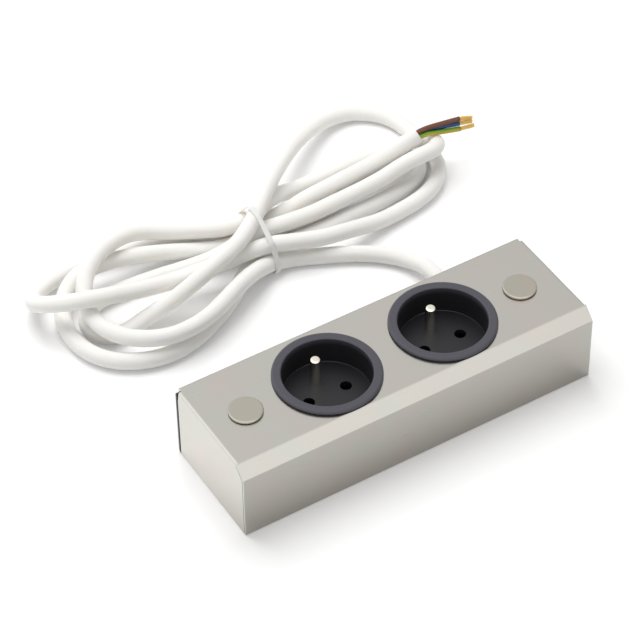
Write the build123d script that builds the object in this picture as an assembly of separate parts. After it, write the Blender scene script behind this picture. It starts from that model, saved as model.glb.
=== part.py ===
from build123d import *
import os
from math import dist, pi, radians, sqrt, tan

# Twin socket block: a folded stainless cover over a black steel chassis, with two
# recessed earth-pin sockets, two screw caps and a white mains lead tied in a hank.
# Millimetres, +Z up. The origin is under the middle of the block, on its base.

# Block
LENGTH = 180.0
WIDTH = 58.0
HEIGHT = 40.0
CHAMFER = 5.5
COVER_SHEET = 1.0
COVER_BEND = 1.3
FOLD_REACH = 1.6
CREASE_RADIUS = 1.3
COVER_LIFT = 0.3
SHEET_PLAY = 0.2
FLAP_GAP = 0.3
FLAP_BACK_GAP = 0.7
FLAP_RELIEF = 2.8
FLAP_SLOPE = 6.0
BACK_NOSE = 3.0
STUD_RADIUS = 1.5
STUD_LENGTH = 6.0

# Chassis
CHASSIS_SHEET = 1.2
CHASSIS_BEND = 1.8
CHASSIS_LIP = 8.0
EAR_WIDTH = 34.0
EAR_HEIGHT = 18.0
EAR_ROOT = 5.0
EAR_CUT = 0.5
HOOK_PLACES = (-60, 0, 60)
HOOK_HALF_WIDTH = 6.0
HOOK_FOOT = 28.0
HOOK_TOP_PLAY = 1.6
ENTRY_RADIUS = 6.0
PILLAR_X = 82.0
PILLAR_Y = -16.0
PILLAR_HALF_FLATS = 3.0
PILLAR_SCREW_LENGTH = 8.0
SCREW_HEAD_RADIUS = 2.9
EARTH_STUD_X = -9.0
EARTH_STUD_Y = -20.0
EARTH_STUD_RADIUS = 2.0
EARTH_STUD_TOP = 10.0
LUG_THICKNESS = 0.8
LUG_RADIUS = 3.6
LUG_HALF_WIDTH = 1.5
LUG_BARREL = (-8.0, -4.0)
LUG_BARREL_RADIUS = 1.75
NUT_HALF_FLATS = 3.5
NUT_HEIGHT = 3.2

# Length, width and depth of the cross recesses
BASE_CROSS = (3.2, 0.6, 0.7)
BLOCK_CROSS = (2.6, 0.5, 0.6)

# Sockets, to the usual 16 A earth-pin pattern
SOCKET_X = 30.0
SOCKET_Y = 1.0
RIM_RADIUS = 24.5
RIM_PROUD = 2.0
RECESS_RADIUS = 20.2
RECESS_FLOOR_RADIUS = 19.9
RECESS_DEPTH = 14.0
FLOOR_FILLET = 0.3
MOUTH_FILLET = 0.7
RIM_FILLET = 1.2
RIM_UNDERCUT = 1.1
RIM_UNDERCUT_HEIGHT = 0.7
NECK_RADIUS = 22.8
NECK_PLAY = 0.2
SKIRT_RADIUS = 20.9
FLOOR_THICKNESS = 2.4
CLIP_POCKET_DEPTH = 0.9
CLIP_POCKET_HEIGHTS = (27.0, 37.8)
CLIP_HALF_WIDTH = 4.0
CLIP_SHEET = 0.5
CLIP_FOOT = 28.0
CLIP_SHOULDER = 36.2
CLIP_REACH = 2.8
HOLE_SPACING = 19.0
HOLE_RADIUS = 2.7
EARTH_PIN_RADIUS = 2.4
EARTH_SHANK_RADIUS = 2.15
EARTH_PIN_OFFSET = 10.0
EARTH_PIN_HEIGHT = 13.4
EARTH_PIN_TIP_ROUND = 1.2
RIVET_RADIUS = 1.8
RIVET_HEAD_RADIUS = 2.3
RIVET_HEAD = 0.8

# Shutter and contact block
SHUTTER_ROOM = 6.0
SHUTTER_PLAY = 0.2
SHUTTER_HALF_WIDTH = 12.8
SHUTTER_BACK = 3.4
SHUTTER_FRONT = -9.0
RAMP_FOOT = 0.6
RAMP_HEAD_Y = -2.6
RAMP_HALF_WIDTH = 3.2
SHUTTER_CORNER = 2.0
SPRING_FOOT = (9.5, -18.1)
SPRING_THICKNESS = 0.4
SPRING_HEIGHT = 4.0
CONTACT_BLOCK_BOTTOM = 6.0
SKIRT_BOTTOM = 14.0
CONTACT_BASE = 8.2
CONTACT_SHEET = 0.6
CONTACT_GAP = 4.7
TERMINAL_TOP = 14.4
TERMINAL_X = 12.5
TERMINAL_Y = -9.0
EARTH_TERMINAL_Y = -14.0
WIRE_PITCH = 3.0
BOSS_X = 14.0
BOSS_Y = 12.0
BOSS_RADIUS = 2.4
BLOCK_SCREW_RADIUS = 1.1
BLOCK_SCREW_HEAD_RADIUS = 2.3
BLOCK_SCREW_HEAD = 1.6
BLOCK_SCREW_SEAT = 2.5
POCKET_ROOM = 0.2
LEAF_SLOT_HALF_X = 3.0
LEAF_SLOT_HALF_Y = 4.0
STRIP_RISE = 1.0
STRAP_HALF_WIDTH = 2.4
ACCESS_RADIUS = 1.7
CAGE_HALF_LENGTH = 3.5
CAGE_HALF_WIDTH = 3.0
CAGE_SLOT_HALF_WIDTH = 1.5
CAGE_SLOT_HALF_LENGTH = 3.0
LEAF_THROAT = 3.0
LEAF_FLARE = 0.6
GRUB_SLOT_DEPTH = 0.7
GRUB_SLOT_WIDTH = 0.5
TERMINAL_SCREW_HEIGHT = 11.0
TERMINAL_SCREW_RADIUS = 1.5
TERMINAL_SCREW_LENGTH = 5.0
CONTACT_HALF_LENGTH = 2.4

# Fixing points and their caps
FIXING_X = 71.0
FIXING_Y = 1.0
FIXING_HOLE_RADIUS = 2.25
SLEEVE_RADIUS = 5.0
SLEEVE_SPIGOT_RADIUS = 3.1
SLEEVE_TOP = 33.0
SLEEVE_SEAT_RADIUS = 4.4
CAP_RADIUS = 7.7
CAP_THICKNESS = 1.1
CAP_EDGE = 0.6
CAP_HOLE_RADIUS = 5.0
CAP_STEM_LENGTH = 6.0
CAP_STEM_PLAY = 0.1
CAP_GROOVE_RADIUS = 4.05
CAP_BORE_RADIUS = 3.05
CAP_RING_RADIUS = 7.35
CAP_RING_FLANGE = 0.4
CAP_RING_DEPTH = 1.3
FIT_PLAY = 0.04

# Lead and its entry
CORD_RADIUS = 4.0
CORE_RADIUS = 1.25
EXIT_X = 62.0
EXIT_Z = 9.0
BOOT_LENGTH = 20.0
BOOT_FLANGE = 2.5
BOOT_FLANGE_RADIUS = 7.2
BOOT_COLLAR = 2.2
BOOT_COLLAR_RADIUS = 7.8
BOOT_ROOT_RADIUS = 6.6
BOOT_TIP_RADIUS = 5.2
BOOT_GROOVES = 4
BOOT_FIRST_GROOVE = 5.4
BOOT_GROOVE_PITCH = 3.6
BOOT_GROOVE_WIDTH = 1.6
BOOT_GROOVE_RADIUS = 4.9
CLAMP_Y = 19.0
CLAMP_HALF_LENGTH = 11.0
CLAMP_SCREW_PITCH = 16.0
CLAMP_SCREW_RADIUS = 1.5
CLAMP_SADDLE_HALF_WIDTH = 4.0
CLAMP_BAR_HALF_WIDTH = 3.0
CLAMP_GAP = 0.4
CLAMP_EAR = 2.4
CLAMP_ARCH = 5.6
CLAMP_ARCH_HALF_TOP = 5.2
CLAMP_HEAD = 1.9
CLAMP_HEAD_RADIUS = 2.7
JACKET_END_Y = 10.0
WIRE_FLOOR = 3.0
WIRE_BEND = 2.2
ARC_SHARE = 0.45
END_RUN = 8.2
FLOOR = CORD_RADIUS + 0.1
TIE_X = 4.0
TIE_WIDTH = 2.6
TIE_THICKNESS = 0.5
CONDUCTOR_RADIUS = 0.8
CORE_SPREAD = 1.52
CORE_SQUARE_RUN = 3.2

BACK = WIDTH / 2
RIM_TOP = HEIGHT + RIM_PROUD
FLOOR_TOP = RIM_TOP - RECESS_DEPTH
FLOOR_BOTTOM = FLOOR_TOP - FLOOR_THICKNESS
BLOCK_TOP = FLOOR_BOTTOM - SHUTTER_ROOM
BOSS_HOLE_TOP = FLOOR_BOTTOM - 1
COVER_UNDERSIDE = HEIGHT - COVER_SHEET
CAP_SEAT = HEIGHT + CAP_RING_FLANGE
CREASE_SHIFT = COVER_SHEET * (sqrt(2) - 1)
CHASSIS_END = LENGTH / 2 - COVER_SHEET - SHEET_PLAY
CLAMP_SCREW_SEAT = EXIT_Z + CLAMP_GAP + CLAMP_EAR
# Cuts run this far past the face that they leave by
PAST = 1.0
BOTTOM = (Align.CENTER, Align.CENTER, Align.MIN)
SIDES = {"left": -1, "right": 1}


def save(node, *solids):
    """Write one node; a group of like pieces stays separate solids."""
    shape = solids[0] if len(solids) == 1 else Compound(children=list(solids))
    export_step(shape, f"parts/{node}.step")


def slab(x, y, z):
    """A box between three pairs of limits."""
    limits = (x, y, z)
    centre = [(low + high) / 2 for low, high in limits]
    return Pos(*centre) * Box(*[high - low for low, high in limits])


def post(x, y, low, high, radius):
    """A round bar standing up."""
    return Pos(x, y, low) * Cylinder(radius, high - low, align=BOTTOM)


def bar_along_y(x, z, front, back, radius):
    return Pos(x, front, z) * Rot(-90, 0, 0) * Cylinder(radius, back - front, align=BOTTOM)


def bar_along_x(y, z, low, high, radius):
    return Pos(low, y, z) * Rot(0, 90, 0) * Cylinder(radius, high - low, align=BOTTOM)


def outline(points, rounds=()):
    """A flat face with straight edges, and its named corners rounded."""
    face = make_face(Polyline(*points, close=True))
    for corner, radius in rounds:
        nearest = face.vertices().sort_by_distance((*corner, 0))[0]
        face = fillet(nearest, radius)
    return face


def turned(points, rounds=()):
    """Turn an outline of (radius, height) points round the Z axis."""
    return revolve(Plane.XZ * outline(points, rounds), Axis.Z)


def run_along_x(face, low, high):
    """Extrude an outline of (y, z) points along X."""
    return Pos(low, 0, 0) * extrude(Plane.YZ * face, high - low)


def run_along_y(face, low, high):
    """Extrude an outline of (x, z) points along Y."""
    return Pos(0, high, 0) * extrude(Plane.XZ * face, high - low)


def housing_cover():
    """Top, front chamfer, front wall and two end flaps, folded from one sheet."""
    sheet, bend = COVER_SHEET, COVER_BEND
    skin = outline(
        [
            (-BACK, COVER_LIFT),
            (-BACK, HEIGHT - CHAMFER),
            (-BACK + CHAMFER, HEIGHT),
            (BACK, HEIGHT),
            (BACK, HEIGHT - BACK_NOSE),
            (BACK - sheet, HEIGHT - BACK_NOSE),
            (BACK - sheet, COVER_UNDERSIDE),
            (-BACK + CHAMFER + CREASE_SHIFT, COVER_UNDERSIDE),
            (-BACK + sheet, HEIGHT - CHAMFER - CREASE_SHIFT),
            (-BACK + sheet, COVER_LIFT),
        ],
        [
            ((-BACK, HEIGHT - CHAMFER), CREASE_RADIUS),
            ((-BACK + CHAMFER, HEIGHT), CREASE_RADIUS),
            ((BACK, HEIGHT), bend),
            ((BACK - sheet, COVER_UNDERSIDE), bend - sheet),
        ],
    )
    cover = run_along_x(skin, -LENGTH / 2, LENGTH / 2)
    top_front = -BACK + CHAMFER + CREASE_SHIFT
    flap_back = BACK - CHASSIS_SHEET - FLAP_BACK_GAP
    flap_shape = outline(
        [
            (-BACK + sheet + FLAP_GAP, COVER_LIFT),
            (-BACK + sheet + FLAP_GAP, HEIGHT - CHAMFER - CREASE_SHIFT - FLAP_GAP),
            (top_front, COVER_UNDERSIDE - 2 * FLAP_GAP),
            (top_front, HEIGHT + PAST),
            (BACK - FLAP_RELIEF, HEIGHT + PAST),
            (BACK - FLAP_RELIEF, COVER_UNDERSIDE),
            (flap_back, HEIGHT - FLAP_SLOPE),
            (flap_back, COVER_LIFT),
        ]
    )
    for side in SIDES.values():
        end = side * LENGTH / 2
        bend_start = end - side * FOLD_REACH
        reach = sorted((bend_start, end + side * PAST))
        cover -= slab(reach, (top_front, BACK + PAST), (HEIGHT - BACK_NOSE - PAST, HEIGHT + PAST))
        fold = outline(
            [
                (bend_start, HEIGHT),
                (end, HEIGHT),
                (end, COVER_LIFT),
                (end - side * sheet, COVER_LIFT),
                (end - side * sheet, COVER_UNDERSIDE),
                (bend_start, COVER_UNDERSIDE),
            ],
            [((end, HEIGHT), bend), ((end - side * sheet, COVER_UNDERSIDE), bend - sheet)],
        )
        cover += run_along_y(fold, -BACK, BACK) & run_along_x(flap_shape, *reach)
        through = (COVER_UNDERSIDE - PAST, HEIGHT + PAST)
        cover -= post(side * SOCKET_X, SOCKET_Y, *through, NECK_RADIUS + NECK_PLAY)
        cover -= post(side * FIXING_X, FIXING_Y, *through, CAP_HOLE_RADIUS)
        stud_tip = COVER_UNDERSIDE - STUD_LENGTH
        cover += post(side * PILLAR_X, PILLAR_Y, stud_tip, COVER_UNDERSIDE, STUD_RADIUS)
    return cover


def chassis():
    """Base and back wall of black steel sheet, with a front lip and two end ears."""
    sheet, bend = CHASSIS_SHEET, CHASSIS_BEND
    front = -BACK + COVER_SHEET + SHEET_PLAY
    skin = outline(
        [
            (front, CHASSIS_LIP),
            (front, 0),
            (BACK, 0),
            (BACK, HEIGHT - BACK_NOSE),
            (BACK - sheet, HEIGHT - BACK_NOSE),
            (BACK - sheet, sheet),
            (front + sheet, sheet),
            (front + sheet, CHASSIS_LIP),
        ],
        [
            ((front, 0), bend),
            ((BACK, 0), bend),
            ((BACK - sheet, sheet), bend - sheet),
            ((front + sheet, sheet), bend - sheet),
        ],
    )
    tray = run_along_x(skin, -LENGTH / 2, LENGTH / 2)
    ear_half = EAR_WIDTH / 2
    for side in SIDES.values():
        end = side * CHASSIS_END
        root = end - side * EAR_ROOT
        past = side * (LENGTH / 2 + PAST)
        tray -= slab(sorted((end, past)), (front - PAST, BACK - sheet), (-PAST, CHASSIS_LIP + PAST))
        slot = (-ear_half - EAR_CUT, ear_half + EAR_CUT)
        tray -= slab(sorted((root, past)), slot, (-PAST, sheet + PAST))
        ear = outline(
            [
                (root, 0),
                (end, 0),
                (end, EAR_HEIGHT),
                (end - side * sheet, EAR_HEIGHT),
                (end - side * sheet, sheet),
                (root, sheet),
            ],
            [((end, 0), bend), ((end - side * sheet, sheet), bend - sheet)],
        )
        tray += run_along_y(ear, -ear_half, ear_half)
        tray -= post(side * FIXING_X, FIXING_Y, -PAST, sheet + PAST, SLEEVE_SPIGOT_RADIUS)
        hole = Cone(SCREW_HEAD_RADIUS, STUD_RADIUS, sheet, align=BOTTOM)
        tray -= Pos(side * PILLAR_X, PILLAR_Y, 0) * hole
        clamp_x = EXIT_X + side * CLAMP_SCREW_PITCH / 2
        tray -= post(clamp_x, CLAMP_Y, -PAST, sheet + PAST, CLAMP_SCREW_RADIUS)
    # Tabs welded inside the back wall hook behind the nose of the cover
    for x in HOOK_PLACES:
        tray += slab(
            (x - HOOK_HALF_WIDTH, x + HOOK_HALF_WIDTH),
            (BACK - 2 * sheet, BACK - sheet),
            (HOOK_FOOT, HEIGHT - HOOK_TOP_PLAY),
        )
    tray -= bar_along_y(EXIT_X, EXIT_Z, BACK - 2 * sheet, BACK + PAST, ENTRY_RADIUS)
    tray += post(EARTH_STUD_X, EARTH_STUD_Y, sheet / 2, EARTH_STUD_TOP, EARTH_STUD_RADIUS)
    return tray


def cover_pillar(side):
    """Hexagonal pillar, screwed up on the cover's welded stud."""
    x, y, foot = side * PILLAR_X, PILLAR_Y, CHASSIS_SHEET
    section = RegularPolygon(PILLAR_HALF_FLATS, 6, major_radius=False)
    pillar = Pos(x, y, foot) * extrude(section, COVER_UNDERSIDE - foot)
    pillar -= post(x, y, COVER_UNDERSIDE - STUD_LENGTH - PAST, COVER_UNDERSIDE + PAST, STUD_RADIUS)
    return pillar - post(x, y, 0, foot + PILLAR_SCREW_LENGTH + PAST, STUD_RADIUS)


def cross_recess(x, y, face, length, width, depth):
    """Cross slots to take out of a screw's head, centred on the height of its face."""
    centre = Pos(x, y, face)
    return centre * Box(length, width, 2 * depth) + centre * Box(width, length, 2 * depth)


def base_screw(side):
    """Countersunk screw from below, flush with the chassis."""
    x, y, sheet = side * PILLAR_X, PILLAR_Y, CHASSIS_SHEET
    screw = Pos(x, y, 0) * Cone(SCREW_HEAD_RADIUS, STUD_RADIUS, sheet, align=BOTTOM)
    screw += post(x, y, sheet / 2, sheet + PILLAR_SCREW_LENGTH, STUD_RADIUS)
    return screw - cross_recess(x, y, 0, *BASE_CROSS)


def fixing_sleeve(side):
    """Spacer tube swaged in the base; the wall screw drops through it."""
    x, y = side * FIXING_X, FIXING_Y
    sleeve = post(x, y, CHASSIS_SHEET, SLEEVE_TOP, SLEEVE_RADIUS)
    sleeve += post(x, y, 0, CHASSIS_SHEET, SLEEVE_SPIGOT_RADIUS)
    sleeve -= post(x, y, -PAST, SLEEVE_TOP + PAST, FIXING_HOLE_RADIUS)
    depth = SLEEVE_SEAT_RADIUS - FIXING_HOLE_RADIUS
    seat = Cone(FIXING_HOLE_RADIUS, SLEEVE_SEAT_RADIUS, depth, align=BOTTOM)
    return sleeve - Pos(x, y, SLEEVE_TOP - depth) * seat


def screw_cap(side):
    """Stainless disc with a hollow stem and a groove for its rubber ring."""
    stem = CAP_HOLE_RADIUS - CAP_STEM_PLAY
    top, tip, groove_end = CAP_SEAT + CAP_THICKNESS, HEIGHT - CAP_STEM_LENGTH, HEIGHT - CAP_RING_DEPTH
    cap = turned(
        [
            (0, top),
            (CAP_RADIUS, top),
            (CAP_RADIUS, CAP_SEAT),
            (CAP_GROOVE_RADIUS, CAP_SEAT),
            (CAP_GROOVE_RADIUS, groove_end),
            (stem, groove_end),
            (stem, tip),
            (CAP_BORE_RADIUS, tip),
            (CAP_BORE_RADIUS, CAP_SEAT),
            (0, CAP_SEAT),
        ],
        [((CAP_RADIUS, top), CAP_EDGE)],
    )
    return Pos(side * FIXING_X, FIXING_Y, 0) * cap


def cap_ring(side):
    """Rubber ring with a thin flange under the disc, gripping the edge of the hole."""
    grip = CAP_HOLE_RADIUS - FIT_PLAY
    ring = turned(
        [
            (CAP_GROOVE_RADIUS, CAP_SEAT),
            (CAP_RING_RADIUS, CAP_SEAT),
            (CAP_RING_RADIUS, HEIGHT),
            (grip, HEIGHT),
            (grip, HEIGHT - CAP_RING_DEPTH),
            (CAP_GROOVE_RADIUS, HEIGHT - CAP_RING_DEPTH),
        ]
    )
    return Pos(side * FIXING_X, FIXING_Y, 0) * ring


def socket_cup():
    """Moulded cup with its rim, floor, skirt, two screw bosses and clip pockets."""
    cup = turned(
        [
            (0, FLOOR_TOP),
            (RECESS_FLOOR_RADIUS, FLOOR_TOP),
            (RECESS_RADIUS, RIM_TOP),
            (RIM_RADIUS, RIM_TOP),
            (RIM_RADIUS, HEIGHT + RIM_UNDERCUT_HEIGHT),
            (RIM_RADIUS - RIM_UNDERCUT, HEIGHT),
            (NECK_RADIUS, HEIGHT),
            (NECK_RADIUS, SKIRT_BOTTOM),
            (SKIRT_RADIUS, SKIRT_BOTTOM),
            (SKIRT_RADIUS, FLOOR_BOTTOM),
            (0, FLOOR_BOTTOM),
        ],
        [
            ((RECESS_FLOOR_RADIUS, FLOOR_TOP), FLOOR_FILLET),
            ((RECESS_RADIUS, RIM_TOP), MOUTH_FILLET),
            ((RIM_RADIUS, RIM_TOP), RIM_FILLET),
        ],
    )
    through = (FLOOR_BOTTOM - PAST, FLOOR_TOP + PAST)
    pocket_y = (-CLIP_HALF_WIDTH - SHEET_PLAY, CLIP_HALF_WIDTH + SHEET_PLAY)
    for side in SIDES.values():
        cup -= post(side * HOLE_SPACING / 2, 0, *through, HOLE_RADIUS)
        cup += post(side * BOSS_X, BOSS_Y, BLOCK_TOP, FLOOR_BOTTOM, BOSS_RADIUS)
        cup -= post(side * BOSS_X, BOSS_Y, BLOCK_TOP - PAST, BOSS_HOLE_TOP, BLOCK_SCREW_RADIUS)
        pocket_x = sorted((side * (NECK_RADIUS - CLIP_POCKET_DEPTH), side * (NECK_RADIUS + PAST)))
        cup -= slab(pocket_x, pocket_y, CLIP_POCKET_HEIGHTS)
    return cup - post(0, EARTH_PIN_OFFSET, *through, EARTH_SHANK_RADIUS)


def retaining_clip(side):
    """Spring finger, bent out of its pocket under the edge of the cover's hole."""
    inner = NECK_RADIUS - CLIP_POCKET_DEPTH
    strip = outline(
        [
            (side * inner, CLIP_FOOT),
            (side * (inner + CLIP_SHEET), CLIP_FOOT),
            (side * (inner + CLIP_SHEET), CLIP_SHOULDER),
            (side * (inner + CLIP_REACH), COVER_UNDERSIDE - CLIP_SHEET),
            (side * (inner + CLIP_REACH - CLIP_SHEET), COVER_UNDERSIDE),
            (side * inner, CLIP_SHOULDER + CLIP_SHEET),
        ]
    )
    return run_along_y(strip, -CLIP_HALF_WIDTH, CLIP_HALF_WIDTH)


def earth_pin():
    """Plated pin with a rounded tip, a shoulder on the floor and a riveted foot."""
    tip = FLOOR_TOP + EARTH_PIN_HEIGHT
    pin = turned(
        [
            (0, tip),
            (EARTH_PIN_RADIUS, tip),
            (EARTH_PIN_RADIUS, FLOOR_TOP),
            (EARTH_SHANK_RADIUS, FLOOR_TOP),
            (EARTH_SHANK_RADIUS, BLOCK_TOP),
            (RIVET_RADIUS, BLOCK_TOP),
            (RIVET_RADIUS, CONTACT_BASE),
            (RIVET_HEAD_RADIUS, CONTACT_BASE),
            (RIVET_HEAD_RADIUS, CONTACT_BASE - RIVET_HEAD),
            (0, CONTACT_BASE - RIVET_HEAD),
        ],
        [((EARTH_PIN_RADIUS, tip), EARTH_PIN_TIP_ROUND)],
    )
    return Pos(0, EARTH_PIN_OFFSET, 0) * pin


def terminal_pocket(x, y, half_x, half_y):
    """Room for a terminal cage, open at the bottom of the carrier."""
    wide, long = half_x + POCKET_ROOM / 2, half_y + POCKET_ROOM / 2
    heights = (CONTACT_BLOCK_BOTTOM - PAST, TERMINAL_TOP + POCKET_ROOM)
    return slab((x - wide, x + wide), (y - long, y + long), heights)


def contact_block():
    """Moulded carrier of the contacts, with its pockets open below."""
    low = CONTACT_BLOCK_BOTTOM
    wall = NECK_RADIUS + PAST
    carrier = post(0, 0, low, SKIRT_BOTTOM, NECK_RADIUS)
    carrier += post(0, 0, low, BLOCK_TOP, SKIRT_RADIUS - FIT_PLAY)
    channel = (low - PAST, CONTACT_BASE + STRIP_RISE)
    through = (low - PAST, BLOCK_TOP + PAST)
    leaf_y = (-LEAF_SLOT_HALF_Y, LEAF_SLOT_HALF_Y)
    for side in SIDES.values():
        x = side * HOLE_SPACING / 2
        carrier -= slab((x - LEAF_SLOT_HALF_X, x + LEAF_SLOT_HALF_X), leaf_y, through)
        carrier -= terminal_pocket(side * TERMINAL_X, TERMINAL_Y, CAGE_HALF_WIDTH, CAGE_HALF_LENGTH)
        strip_x = sorted((side * 9.8, side * 12.7))
        carrier -= slab(strip_x, (TERMINAL_Y, 0), channel)
        access = sorted((side * TERMINAL_X, side * wall))
        carrier -= bar_along_x(TERMINAL_Y, TERMINAL_SCREW_HEIGHT, *access, ACCESS_RADIUS)
        carrier -= post(side * BOSS_X, BOSS_Y, *through, BLOCK_SCREW_RADIUS + POCKET_ROOM)
        seat = (low - PAST, low + BLOCK_SCREW_SEAT)
        carrier -= post(side * BOSS_X, BOSS_Y, *seat, BLOCK_SCREW_HEAD_RADIUS + POCKET_ROOM)
    carrier -= terminal_pocket(0, EARTH_TERMINAL_Y, CAGE_HALF_LENGTH, CAGE_HALF_WIDTH)
    strap_half = STRAP_HALF_WIDTH + POCKET_ROOM
    carrier -= slab((-strap_half, strap_half), (EARTH_TERMINAL_Y, EARTH_PIN_OFFSET + 3), channel)
    carrier -= bar_along_y(0, TERMINAL_SCREW_HEIGHT, -wall, EARTH_TERMINAL_Y, ACCESS_RADIUS)
    return carrier - post(0, EARTH_PIN_OFFSET, low, BLOCK_TOP + PAST, RIVET_RADIUS)


def terminal_cage(x, y, half_x, half_y, slot_x, slot_y):
    """Brass cage with a slot for two wires side by side."""
    cage = slab((x - half_x, x + half_x), (y - half_y, y + half_y), (CONTACT_BASE, TERMINAL_TOP))
    heights = (CONTACT_BASE - PAST, TERMINAL_TOP - 1)
    return cage - slab((x - slot_x, x + slot_x), (y - slot_y, y + slot_y), heights)


def pole_contact(side):
    """Two sprung leaves on a base, with a strip to the terminal cage."""
    x = side * HOLE_SPACING / 2
    low, sheet = CONTACT_BASE, CONTACT_SHEET
    inner = CONTACT_GAP / 2
    outer = inner + sheet
    leaf_top = BLOCK_TOP - LEAF_FLARE
    # Each leaf stands straight up to its throat and flares out at its mouth
    leaf = outline(
        [
            (outer, low),
            (outer, leaf_top - LEAF_THROAT),
            (outer + LEAF_FLARE, leaf_top),
            (outer, leaf_top),
            (inner, leaf_top - LEAF_THROAT),
            (inner, low),
        ]
    )
    ends = (x - CONTACT_HALF_LENGTH, x + CONTACT_HALF_LENGTH)
    contact = run_along_x(leaf, *ends) + run_along_x(mirror(leaf, Plane.YZ), *ends)
    contact += slab(ends, (-outer, outer), (low, low + sheet))
    strip = sorted((side * 10, side * 12.5))
    contact += slab(strip, (TERMINAL_Y + CAGE_HALF_LENGTH - sheet, 0), (low, low + sheet))
    cage = terminal_cage(
        side * TERMINAL_X, TERMINAL_Y,
        CAGE_HALF_WIDTH, CAGE_HALF_LENGTH, CAGE_SLOT_HALF_WIDTH, CAGE_SLOT_HALF_LENGTH,
    )
    hole = sorted((side * TERMINAL_X, side * (TERMINAL_X + CAGE_HALF_WIDTH + PAST)))
    hole = bar_along_x(TERMINAL_Y, TERMINAL_SCREW_HEIGHT, *hole, TERMINAL_SCREW_RADIUS)
    return contact + cage - hole


def earth_strap():
    """Strip from the riveted foot of the pin to the earth terminal cage."""
    low, y = CONTACT_BASE, EARTH_TERMINAL_Y
    ends = (y + CAGE_HALF_WIDTH, EARTH_PIN_OFFSET + 2.6)
    strap = slab((-STRAP_HALF_WIDTH, STRAP_HALF_WIDTH), ends, (low, low + RIVET_HEAD))
    strap -= post(0, EARTH_PIN_OFFSET, low - PAST, low + RIVET_HEAD + PAST, RIVET_RADIUS)
    strap += terminal_cage(
        0, y, CAGE_HALF_LENGTH, CAGE_HALF_WIDTH, CAGE_SLOT_HALF_LENGTH, CAGE_SLOT_HALF_WIDTH
    )
    far = y - CAGE_HALF_WIDTH - PAST
    return strap - bar_along_y(0, TERMINAL_SCREW_HEIGHT, far, y, TERMINAL_SCREW_RADIUS)


def terminal_screws():
    """Three slotted grub screws, one to each cage, pressed on the wires."""
    reach = CORE_RADIUS + 0.02
    length, z = TERMINAL_SCREW_LENGTH, TERMINAL_SCREW_HEIGHT
    depth, width, across = 2 * GRUB_SLOT_DEPTH, GRUB_SLOT_WIDTH, 4
    screws = []
    for side in SIDES.values():
        near, far = side * (TERMINAL_X + reach), side * (TERMINAL_X + reach + length)
        screw = bar_along_x(TERMINAL_Y, z, *sorted((near, far)), TERMINAL_SCREW_RADIUS)
        screws.append(screw - Pos(far, TERMINAL_Y, z) * Box(depth, across, width))
    near = EARTH_TERMINAL_Y - reach
    screw = bar_along_y(0, z, near - length, near, TERMINAL_SCREW_RADIUS)
    return [*screws, screw - Pos(0, near - length, z) * Box(across, depth, width)]


def block_screw(side):
    """Pan-head screw from below that holds the carrier to a boss of the cup."""
    x, y, seat = side * BOSS_X, BOSS_Y, CONTACT_BLOCK_BOTTOM + BLOCK_SCREW_SEAT
    face = seat - BLOCK_SCREW_HEAD
    screw = post(x, y, seat, BOSS_HOLE_TOP - 0.5, BLOCK_SCREW_RADIUS)
    screw += post(x, y, face, seat, BLOCK_SCREW_HEAD_RADIUS)
    return screw - cross_recess(x, y, face, *BLOCK_CROSS)


def shutter():
    """Slide with a ramp under each hole; a plug's two pins push it forward."""
    low, high = BLOCK_TOP + SHUTTER_PLAY, FLOOR_BOTTOM - SHUTTER_PLAY
    half = SHUTTER_HALF_WIDTH
    slide = slab((-half, half), (SHUTTER_FRONT, SHUTTER_BACK), (low, high))
    past, above = SHUTTER_BACK + PAST, high + 0.1
    foot = low + RAMP_FOOT
    ramp = outline([(SHUTTER_BACK, foot), (past, foot), (past, above), (RAMP_HEAD_Y, above)])
    for side in SIDES.values():
        x = side * HOLE_SPACING / 2
        slide -= run_along_x(ramp, x - RAMP_HALF_WIDTH, x + RAMP_HALF_WIDTH)
    corners = slide.edges().filter_by(Axis.Z).group_by(Axis.Y)[0]
    return fillet(corners, SHUTTER_CORNER)


def shutter_spring():
    """Bowed leaf between the cup's skirt and the front of the slide."""
    (x, y), thickness = SPRING_FOOT, SPRING_THICKNESS
    bow = ThreePointArc((-x, y), (0, SHUTTER_FRONT - thickness / 2), (x, y))
    return Pos(0, 0, BLOCK_TOP + 1) * extrude(trace(bow, thickness), SPRING_HEIGHT)


def cable_boot():
    """Tapered, ribbed strain relief snapped into the back wall."""
    inside = -CHASSIS_SHEET - BOOT_FLANGE
    boot = turned(
        [
            (CORD_RADIUS, inside),
            (BOOT_FLANGE_RADIUS, inside),
            (BOOT_FLANGE_RADIUS, -CHASSIS_SHEET),
            (ENTRY_RADIUS, -CHASSIS_SHEET),
            (ENTRY_RADIUS, 0),
            (BOOT_COLLAR_RADIUS, 0),
            (BOOT_COLLAR_RADIUS, BOOT_COLLAR),
            (BOOT_ROOT_RADIUS, BOOT_COLLAR + 1),
            (BOOT_TIP_RADIUS, BOOT_LENGTH),
            (CORD_RADIUS, BOOT_LENGTH),
        ],
        [((BOOT_COLLAR_RADIUS, BOOT_COLLAR), 0.6)],
    )
    for i in range(BOOT_GROOVES):
        low = BOOT_FIRST_GROOVE + i * BOOT_GROOVE_PITCH
        boot -= ring(low, low + BOOT_GROOVE_WIDTH, BOOT_GROOVE_RADIUS)
    return Pos(EXIT_X, BACK, EXIT_Z) * Rot(-90, 0, 0) * boot


def ring(low, high, inner):
    """A ring about the Z axis, wide enough to cut a groove in the boot."""
    return post(0, 0, low, high, BOOT_COLLAR_RADIUS + PAST) - post(0, 0, low, high, inner)


def clamp_places():
    return [EXIT_X + side * CLAMP_SCREW_PITCH / 2 for side in SIDES.values()]


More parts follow.
